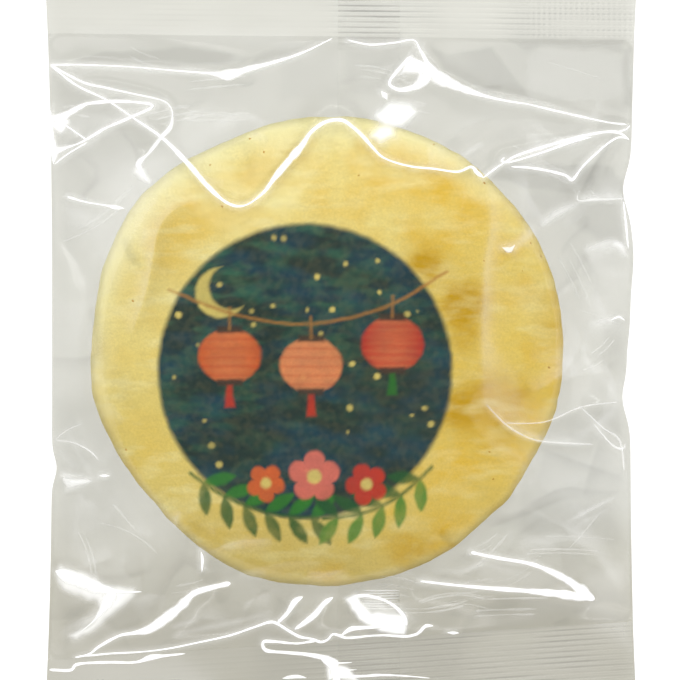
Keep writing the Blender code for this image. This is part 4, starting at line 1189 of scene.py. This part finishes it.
def hairline_routes():
    dice = np.random.default_rng(HAIRLINE_SEED)
    routes = []
    most_x, least_y, most_y = HAIRLINE_EDGES
    for bundle in range(BUNDLES):
        x, y = (dice.uniform(*ends) for ends in HAIRLINE_FIELD)
        level = abs(y) > 36
        heading = math.radians(dice.normal(0.0, 14.0) if level else dice.normal(28.0 * np.sign(-x * y), 22.0))
        length = dice.uniform(3.0, 12.0)
        bend = dice.normal(0.0, 0.12)
        strength = dice.uniform(0.04, 0.15) * unit((off_centre(x, y) - CLEAR_RADIUS) / CLEAR_FADE)
        for line in range(dice.integers(1, 4)):
            side = line * dice.uniform(0.6, 1.5)
            start = dice.uniform(-2.0, 2.0)
            runs = [start + (share - 0.5) * length for share in (0.0, 0.33, 0.67, 1.0)]
            places = [(*bent(x, y, heading, run, side + bend * run * run / length * 2.0),
                       dice.uniform(*HAIRLINE_WIDTH)) for run in runs]
            inside = all(abs(px) < most_x and least_y < py < most_y for px, py, width in places)
            if strength > FAINTEST and inside:
                routes.append((strength * dice.uniform(0.6, 1.2), places))
    return routes


hairlines = hairline_routes()
add_ribbons("hairlines", hairlines)
print("hairlines:", len(hairlines))

# %% [markdown]
# ## The cracker
# Rice dough puffs as it bakes, so the disc is never quite round and its faces swell in soft humps with a
# fine grain. The outline is a circle with a few named bulges and flats. The upper face gets the finest
# mesh, because the printed picture is kept there as one colour for each vertex.

# %% Cracker outline and mesh
BULGES = [  # direction in degrees from +X, millimetres added to the radius, half width in degrees
    (143, 1.6, 17), (164, 0.6, 9), (190, 1.1, 14), (220, -0.35, 8), (250, 0.9, 14), (270, 0.2, 8),
    (312, -0.5, 6), (332, -0.45, 9), (16, 0.3, 26), (117, -0.3, 8),
]
RIM_RAGGED = 0.35
TOP_CELLS = 256
BOTTOM_CELLS = 64
RIM_SQUARENESS = 2.6
EDGE_TUCK = 0.95


def cracker_radius(angle):
    """Radius of the cracker's outline in a direction."""
    radius = np.full(np.shape(angle), CRACKER_RADIUS)
    for direction, more, half_width in BULGES:
        apart = (np.degrees(angle) - direction + 180.0) % 360.0 - 180.0
        radius += more * np.exp(-(apart / half_width) ** 2)
    across, along = CRACKER_RADIUS * np.cos(angle), CRACKER_RADIUS * np.sin(angle)
    return radius + RIM_RAGGED * (uneven(across, along, 3.2, 35) - 0.5)


def disc_points(cells):
    """A square grid of points pulled onto a disc of radius 1 with even cells."""
    a, b = np.meshgrid(np.linspace(-1.0, 1.0, cells + 1), np.linspace(-1.0, 1.0, cells + 1))
    wide = np.abs(a) > np.abs(b)
    radius = np.where(wide, a, b)
    other = np.where(wide, b, a)
    with np.errstate(divide="ignore", invalid="ignore"):
        angle = np.where(radius == 0.0, 0.0, (math.pi / 4) * other / radius)
    along, up = radius * np.cos(angle), radius * np.sin(angle)
    return np.where(wide, along, up), np.where(wide, up, along)


def face_points(cells, top):
    """One face of the cracker: flat in the middle and rounded off to its rim."""
    u, v = disc_points(cells)
    reach = np.hypot(u, v)
    angle = np.arctan2(v, u)
    radius = reach * cracker_radius(angle)
    half = (CRACKER_TOP - CRACKER_BOTTOM) / 2.0
    rounded = half * unit(1.0 - unit((reach - EDGE_TUCK) / (1.0 - EDGE_TUCK)) ** RIM_SQUARENESS) ** 0.5
    z = CRACKER_BOTTOM + half + (rounded if top else -rounded)
    return CRACKER_CENTRE[0] + radius * np.cos(angle), CRACKER_CENTRE[1] + radius * np.sin(angle), z


def border(index):
    """The outer loop of a grid of vertex numbers, anticlockwise from its first corner."""
    return np.concatenate([index[0, :-1], index[:-1, -1], index[-1, :0:-1], index[:0:-1, 0]])


radii = cracker_radius(np.linspace(0.0, 2.0 * math.pi, 361))
print("cracker radius, mm:", round(float(radii.min()), 1), "to", round(float(radii.max()), 1))

# %% Closed mesh of the cracker
def closed_cracker():
    """A fine upper face and a coarse lower one, which share the rim's vertices."""
    top_points = np.stack(face_points(TOP_CELLS, True), -1).reshape(-1, 3)
    low_points = np.stack(face_points(BOTTOM_CELLS, False), -1).reshape(-1, 3)
    top = np.arange(len(top_points)).reshape(TOP_CELLS + 1, -1)
    low = np.arange(len(low_points)).reshape(BOTTOM_CELLS + 1, -1) + len(top_points)
    inner = low[1:-1, 1:-1]
    quads = grid_quads(top).tolist() + grid_quads(inner)[:, [0, 3, 2, 1]].tolist()
    return np.vstack([top_points, low_points]), quads, border(top), border(inner)


def cracker_mesh():
    points, faces, rim, ring = closed_cracker()
    shell = bmesh.new()
    used = sorted({number for face in faces for number in face})
    vertices = {number: shell.verts.new(points[number] * MM) for number in used}
    for face in faces:
        shell.faces.new([vertices[number] for number in face])
    loops = [[vertices[number] for number in loop] for loop in (rim, ring)]
    edges = [shell.edges.get((loop[i - 1], loop[i])) for loop in loops for i in range(len(loop))]
    bmesh.ops.bridge_loops(shell, edges=edges)
    bmesh.ops.recalc_face_normals(shell, faces=shell.faces[:])
    mesh = bpy.data.meshes.new("cracker")
    shell.to_mesh(mesh)
    shell.free()
    return mesh


print("vertices before its two faces are bridged:", len(closed_cracker()[0]))

# %% [markdown]
# ## Puffed surface
# The tree adds two layers of noise along the surface normal: broad swellings and the fine grain of the
# rice. The seed is the fourth coordinate of the noise, so another value bakes another cracker.

# %% Puff tree
PUFF = {"Swell Size": 11.0 * MM, "Swell Depth": 0.8 * MM, "Grain Size": 1.3 * MM, "Grain Depth": 0.14 * MM,
        "Seed": 4.0}


def noise_layer(tree, given, size, depth):
    noise = noise_node(tree, given[size], {"W": given["Seed"], "Detail": 2.0}, noise_dimensions="4D")
    return link_math(tree, "MULTIPLY", link_math(tree, "SUBTRACT", noise, 0.5), given[depth])


def puff_tree():
    """Moves each vertex along its normal by two layers of noise."""
    tree, given, output = geometry_tree("puff_surface", dict.fromkeys(PUFF, "Float"))
    swell = noise_layer(tree, given, "Swell Size", "Swell Depth")
    grain = noise_layer(tree, given, "Grain Size", "Grain Depth")
    normal = add_node(tree, "GeometryNodeInputNormal").outputs[0]
    offset = scaled(tree, normal, link_math(tree, "ADD", swell, grain))
    return end_tree(tree, moved(tree, given["Geometry"], offset), given, output)


puff_surface = puff_tree()
print("puff tree nodes:", len(puff_surface.nodes))

# %% [markdown]
# ## The printed picture
# Food ink lies on the crust as flat shapes with soft edges: a round night sky, a string of paper lanterns,
# a thin moon, stars, two leafy sprigs and some blossoms. Each shape is a signed distance in millimetres,
# negative inside. A vertex takes the ink where its distance is under zero, and the crust shows through.

# %% Inks and shapes
# pale_crust_and_painted_light serves pale crust and painted light; shade serves painted shade and the crust's
# darker fibres
INK = {  # sRGB, 0 to 255
    "crust": (240, 217, 122), "pale_crust_and_painted_light": (253, 246, 190), "golden": (234, 188, 34),
    "amber": (208, 164, 4), "shade": (216, 193, 114), "toast": (204, 158, 60),
    "sky": (4, 44, 44), "sky_pale": (56, 112, 86), "sky_blue": (8, 66, 90), "moon": (236, 214, 120),
    "cord": (188, 128, 60), "cap": (72, 52, 38), "peach": (240, 150, 96), "orange": (226, 104, 44),
    "red": (206, 54, 30), "pink": (232, 120, 104), "leaf": (50, 132, 38), "leaf_dark": (28, 92, 40),
    "green": (36, 120, 30),
}
SOFT_EDGE = 0.28
SKY_EDGE = 0.45
INK_COVER = 0.97
INK_BLEED = 0.22
INK_WASH = 0.3
EVERYWHERE = -1.0  # a distance that lies inside any shape


def linear(name):
    shares = np.array(INK[name]) / 255.0
    return np.where(shares <= 0.04045, shares / 12.92, ((shares + 0.055) / 1.055) ** 2.4)


def paint(colour, distance, ink, cover=INK_COVER, edge=SOFT_EDGE):
    """Lays an ink over an array of colours where distance is under zero."""
    share = unit(0.5 - distance / (2.0 * edge))[..., None] * np.asarray(cover)[..., None]
    colour += (linear(ink) - colour) * share


def circle(x, y, cx, cy, radius):
    return np.hypot(x - cx, y - cy) - radius


def ellipse(x, y, cx, cy, rx, ry):
    return (np.hypot((x - cx) / rx, (y - cy) / ry) - 1.0) * min(rx, ry)


def stroke(x, y, places, width):
    return distance_to_route(x, y, smooth_route(places))[0] - width / 2.0


def leaf(x, y, base, direction, length, width):
    """A pointed leaf from its base, along a direction in degrees."""
    c, s = math.cos(math.radians(direction)), math.sin(math.radians(direction))
    u = ((x - base[0]) * c + (y - base[1]) * s) / length
    v = (y - base[1]) * c - (x - base[0]) * s
    inside = np.abs(v) - width / 2.0 * np.sin(math.pi * unit(u)) ** 0.8
    return np.where((u > 0.0) & (u < 1.0), inside, FAR)


def blossom(x, y, cx, cy, radius, turn):
    """Five round petals."""
    angle = np.arctan2(y - cy, x - cx) - turn
    petals = radius * (0.66 + 0.34 * np.abs(np.cos(2.5 * angle)) ** 0.6)
    return np.hypot(x - cx, y - cy) - petals


print("inks:", len(INK))

# %% Layout of the picture
SKY = (-6.0, -4.0, 24.4)
CORD = [(-28.5, 9.5), (-18, 5.5), (-6, 3.8), (7, 6.5), (17.5, 12.5)]
LANTERNS = [(-18.5, -1.5, "orange"), (-5.0, -3.0, "peach"), (8.5, 0.5, "red")]
LANTERN_SIZE = (5.2, 4.5)
SPRIGS = [[(-25, -21), (-19, -25), (-12, -27.5), (-4, -28.5)], [(15, -20), (10, -24.5), (4, -27.5), (-3, -28.5)]]
BLOSSOMS = [(-4.5, -21.5, 4.3, 0.3, "pink"), (-12.5, -22.6, 3.2, 1.0, "orange"), (4.2, -22.8, 3.5, 0.7, "red")]
STAR_COUNT = 34
SKY_REACH = 23.0
STAR_SIZE = (0.22, 0.55)
PATCHES = [  # X, Y, radius, ink and how much of it
    (14, 13.7, 2.8, "amber", 1.2), (20.3, 7, 3.6, "amber", 1.6), (23, -8.4, 3.4, "amber", 1.2),
    (20.3, -10.6, 3.2, "amber", 1.4), (20.5, 1.4, 2.6, "amber", 0.7), (25.5, -14.6, 3.5, "amber", 0.6),
    (28.4, -8.8, 4, "amber", 0.9), (34.8, 2.6, 3, "amber", 0.45), (33, 8, 3.5, "amber", 0.15),
    (21, 21, 3.5, "golden", 0.5), (16.5, 28, 4, "golden", 0.5), (6.5, 26.3, 3, "golden", 0.55),
    (12, 25, 3, "golden", 0.4), (-15.5, 29.3, 4, "golden", 0.4), (-25.2, 21, 4.5, "golden", 0.6),
    (-29, 15.5, 3.5, "golden", 0.4), (-3.5, 24.6, 2.5, "golden", 0.4), (17, -30, 4.5, "golden", 0.4),
    (27, -20, 4, "golden", 0.25), (11.5, -33.4, 3.6, "amber", 0.5), (31.5, 8.5, 4.5, "pale_crust_and_painted_light", 0.3),
]
print("patches:", len(PATCHES))

# %% Crust and night sky
def paint_crust(colour, x, y):
    """The crust: painted light above and shade below, golden to the right, with mottling, wisps, fibres and
    painted rim light.
    """
    angle = np.arctan2(y - CRACKER_CENTRE[1], x - CRACKER_CENTRE[0])
    rim = off_centre(x, y) / cracker_radius(angle)
    # painted light and shade: paler towards the upper left, darker towards the bottom
    paint(colour, EVERYWHERE, "pale_crust_and_painted_light", 0.5 * unit((y - 0.45 * x) / 36.0))
    paint(colour, EVERYWHERE, "shade", 0.68 * unit((-y - 2.0 - 0.1 * x) / 34.0))
    paint(colour, EVERYWHERE, "golden", 0.24 * unit((x - 4.0) / 16.0))
    mottling = unit(uneven(x * 0.7, y, 4.0, 42, 4) * 2.8 - 1.2)
    paint(colour, EVERYWHERE, "golden", mix(0.22, 0.6, unit((x + 10.0) / 20.0)) * mottling)
    broken = 0.5 + 1.0 * uneven(x * 0.6, y, 1.6, 43, 3)
    for px, py, radius, ink, cover in PATCHES:
        share = np.exp(-(circle(x, y, px, py, 0.0) / radius) ** 2) * broken
        paint(colour, EVERYWHERE, ink, unit(cover * share))
    wisps = unit(uneven(x * 0.35, y * 1.1, 1.8, 41, 4) * 3.0 - 1.5)
    paint(colour, EVERYWHERE, "pale_crust_and_painted_light", 0.45 * wisps * np.clip((20.0 - x) / 20.0, 0.7, 1.0))
    # fibres: the crust's own darker grain, drawn with the same ink as the painted shade
    fibres = unit(uneven(x * 0.3 + y * 0.1, y, 0.5, 44, 2) * 2.0 - 0.9)
    paint(colour, EVERYWHERE, "shade", 0.3 * fibres)
    # painted highlight on the upper rim, and a painted fill that lightens the shaded lower rim
    painted_rim_highlight = unit((y - 0.4 * x - 2.0) / 26.0) * unit((rim - 0.87) / 0.1)
    painted_rim_fill = unit((-y - 10.0) / 20.0) * unit((rim - 0.95) / 0.03)
    paint(colour, EVERYWHERE, "pale_crust_and_painted_light", 0.85 * painted_rim_highlight)
    paint(colour, EVERYWHERE, "pale_crust_and_painted_light", 0.2 * painted_rim_fill)


def paint_sky(colour, x, y):
    """A teal disc brushed in short level strokes, with a painted sheen that lightens it towards its upper left."""
    streaks = 0.7 * uneven(x * 0.45, y * 1.2, 1.5, 51, 3) + 0.3 * uneven(x, y, 6.0, 52)
    # the pale strokes are print; lift, which makes them stronger towards the upper left, is painted sheen
    lift = np.clip(0.5 + (y - SKY[1] - 0.5 * (x - SKY[0])) / 60.0, 0.1, 1.0)
    disc = circle(x, y, *SKY)
    paint(colour, disc, "sky", 0.99, SKY_EDGE)
    paint(colour, disc, "sky_blue", 0.75 * unit(uneven(x * 0.5, y, 3.4, 53, 3) * 2.4 - 0.9), SKY_EDGE)
    paint(colour, disc, "sky_pale", 0.85 * lift * unit(streaks * 2.6 - 1.1), SKY_EDGE)
    stars = np.random.default_rng(61)
    for number in range(STAR_COUNT):
        turn, reach = stars.uniform(0.0, 2.0 * math.pi), SKY_REACH * math.sqrt(stars.uniform())
        star = circle(x, y, SKY[0] + reach * math.cos(turn), SKY[1] + reach * math.sin(turn),
                      stars.uniform(*STAR_SIZE))
        paint(colour, star, "moon", stars.uniform(0.35, 0.9), 0.2)


print("sky, mm across:", 2.0 * SKY[2])

# %% Lanterns, sprigs and the whole picture
def paint_lantern(colour, x, y, cx, cy, ink):
    rx, ry = LANTERN_SIZE
    body = ellipse(x, y, cx, cy, rx, ry)
    shade = unit((np.abs(x - cx) / rx) ** 2 + 0.25 * np.abs(np.sin((y - cy) * 2.6)))
    paint(colour, body, ink)
    paint(colour, body, "peach", 0.5 * (1.0 - shade))
    paint(colour, np.maximum(body, np.abs((y - cy + 40.0) % 1.5 - 0.75) - 0.11), "red", 0.45)
    for end in (1.0, -1.0):
        cap = np.maximum(np.abs(x - cx) - 2.1, np.abs(y - cy - end * ry * 0.98) - 0.55)
        paint(colour, cap, "cap")
    tassel = np.maximum(np.abs(x - cx) - 0.35 - 0.12 * (cy - ry - y), np.abs(y - cy + ry + 2.2) - 1.8)
    paint(colour, tassel, "green" if ink == "red" else "red", 0.9)
    paint(colour, stroke(x, y, [(cx, cy + ry), (cx, cy + ry + 3.4)], 0.35), "cord")


def paint_sprig(colour, x, y, route):
    """A stem with pairs of leaves that lean forward along it."""
    curve = smooth_route(route)
    for place in range(6, len(curve) - 3, 7):
        (bx, by), (ax, ay) = curve[place, :2], curve[place - 3, :2]
        heading = math.degrees(math.atan2(by - ay, bx - ax))
        for side in (1.0, -1.0):
            green = "leaf" if side > 0 else "leaf_dark"
            paint(colour, leaf(x, y, (bx, by), heading + side * 48.0, 5.6, 2.1), green)
    paint(colour, stroke(x, y, route, 0.55), "leaf_dark")


def picture(x, y):
    """The colour of every point on the cracker's upper face, linear. Ink bleeds a little and dries unevenly."""
    crust = np.tile(linear("crust"), (x.size, 1))
    paint_crust(crust, x, y)
    taken = 1.0 - 0.035 * unit(uneven(x, y, 0.8, 54, 3) * 2.6 - 0.9)
    wash = 1.0 - INK_WASH * uneven(x, y, 2.0, 57, 3)
    x, y = x + INK_BLEED * (uneven(x, y, 1.3, 55) - 0.5), y + INK_BLEED * (uneven(x, y, 1.3, 56) - 0.5)
    ground = crust.copy()
    paint_sky(ground, x, y)
    ground = mix(crust, ground, taken[:, None])
    colour = ground.copy()
    paint(colour, np.maximum(circle(x, y, -20, 9, 4.2), -circle(x, y, -18.2, 10.0, 3.8)), "moon")
    paint(colour, stroke(x, y, CORD, 0.4), "cord")
    for cx, cy, ink in LANTERNS:
        paint_lantern(colour, x, y, cx, cy, ink)
    for route in SPRIGS:
        paint_sprig(colour, x, y, route)
    for cx, cy, radius, turn, ink in BLOSSOMS:
        paint(colour, blossom(x, y, cx, cy, radius, turn), ink)
        paint(colour, circle(x, y, cx, cy, radius * 0.28), "moon")
    return mix(ground, colour, wash[:, None])


print("shapes in the picture:", len(LANTERNS) + len(SPRIGS) + len(BLOSSOMS) + STAR_COUNT)

# %% [markdown]
# ## Baked material
# The vertex colours carry crust and ink. A shader group adds the rice grain that both the crust and its
# toasted specks share: a fine break-up of the colour and a bump.

# %% Grain group and cracker material
GRAIN_CONTRAST = 0.3
BAKED_SHEEN = 0.25


def grain_group():
    """Colour break-up and bumped normal of baked rice, for any colour."""
    group, given, output = new_group("rice_grain", "ShaderNodeTree", {
        "Colour": "Color", "Grain Size": "Float", "Bump Height": "Float"}, {"Colour": "Color", "Normal": "Vector"})
    place = add_node(group, "ShaderNodeTexCoord").outputs["Object"]
    noise = noise_node(group, given["Grain Size"], {"Vector": place, "Detail": 3.0})
    shade = link_math(group, "MULTIPLY_ADD", noise, GRAIN_CONTRAST, 1.0 - GRAIN_CONTRAST / 2.0)
    bump = add_node(group, "ShaderNodeBump", {"Height": noise, "Distance": given["Bump Height"]})
    fill(group, output, {"Colour": scaled(group, given["Colour"], shade), "Normal": bump.outputs[0]})
    return group


def baked_material(name, colour, grain_size, bump_height, roughness):
    """Baked rice: colour is an attribute's name or a linear colour."""
    material, tree = new_material(name)
    if isinstance(colour, str):
        colour = add_node(tree, "ShaderNodeAttribute", attribute_name=colour).outputs["Color"]
    else:
        colour = (*colour, 1.0)
    grain = add_node(tree, "ShaderNodeGroup", {
        "Colour": colour, "Grain Size": grain_size * MM, "Bump Height": bump_height * MM}, node_tree=rice_grain)
    fill(tree, tree.nodes["Principled BSDF"], {
        "Base Color": grain.outputs["Colour"], "Normal": grain.outputs["Normal"],
        "Roughness": roughness, "Specular IOR Level": BAKED_SHEEN})
    return material


rice_grain = grain_group()
crust_material = baked_material("crust", "colour", 0.35, 0.06, 0.85)
speck_material = baked_material("toasted_speck", linear("toast"), 0.3, 0.03, 0.9)
print("materials:", crust_material.name, speck_material.name)

# %% Cracker
BARE_FROM = 6.0  # how far outside the picture the toasted specks begin


def add_cracker():
    mesh = cracker_mesh()
    flat = np.empty(len(mesh.vertices) * 3, np.float32)
    mesh.vertices.foreach_get("co", flat)
    x, y, z = flat.reshape(-1, 3).astype(float).T / MM
    under = z < (CRACKER_TOP + CRACKER_BOTTOM) / 2.0
    plain = np.tile(linear("crust"), (len(x), 1))
    paint_crust(plain, x, y)
    colour = np.where(under[:, None], plain, picture(x, y))
    layer = mesh.attributes.new("colour", "FLOAT_COLOR", "POINT")
    layer.data.foreach_set("color", np.column_stack([colour, np.ones(len(x))]).astype(np.float32).ravel())
    bare = (circle(x, y, *SKY) > BARE_FROM) & ~under
    add_field(mesh, "bare", bare.astype(float))
    cracker = run_tree(puff_surface, "cracker", mesh, {**PUFF, "Material": crust_material})
    cracker.data.shade_smooth()
    add_piece(cracker)
    return cracker


cracker = add_cracker()

# %% [markdown]
# ## Toasted specks
# A few grains on the crust toast darker than the rest. Points are scattered over the bare part of the
# upper face, and each gets a small flattened grain that lies along the surface.

# %% Toasted specks
SPECK_DENSITY = 9000.0
SPECK_RADIUS = (0.10, 0.26)
SPECK_SHAPE = (1.0, 0.65, 0.3)  # length, width and thickness as shares of its radius
SPECK_SEED = 5


def speck_tree():
    """Scatters flattened grains over the faces marked bare."""
    tree, given, output = geometry_tree("toasted_specks", {
        "Density": "Float", "Smallest": "Float", "Largest": "Float", "Seed": "Int"})
    density = link_math(tree, "MULTIPLY", named_field(tree, "bare"), given["Density"])
    scatter = add_node(tree, "GeometryNodeDistributePointsOnFaces", {
        "Mesh": given["Geometry"], "Density": density, "Seed": given["Seed"]}).outputs
    grain = add_node(tree, "GeometryNodeMeshIcoSphere", {"Radius": 1.0, "Subdivisions": 2}).outputs["Mesh"]
    size = add_node(tree, "FunctionNodeRandomValue", {
        2: given["Smallest"], 3: given["Largest"], "Seed": given["Seed"]}).outputs[1]
    sides = {number: link_math(tree, "MULTIPLY", size, part) for number, part in enumerate(SPECK_SHAPE)}
    scale = add_node(tree, "ShaderNodeCombineXYZ", sides).outputs[0]
    placed = add_node(tree, "GeometryNodeInstanceOnPoints", {
        "Points": scatter["Points"], "Instance": grain, "Rotation": scatter["Rotation"], "Scale": scale})
    return end_tree(tree, placed.outputs["Instances"], given, output)


values = {"Density": SPECK_DENSITY, "Smallest": SPECK_RADIUS[0] * MM, "Largest": SPECK_RADIUS[1] * MM,
          "Seed": SPECK_SEED, "Material": speck_material}
specks = run_tree(speck_tree(), "toasted_specks", cracker.data.copy(), values)
specks.data.shade_smooth()
add_piece(specks)
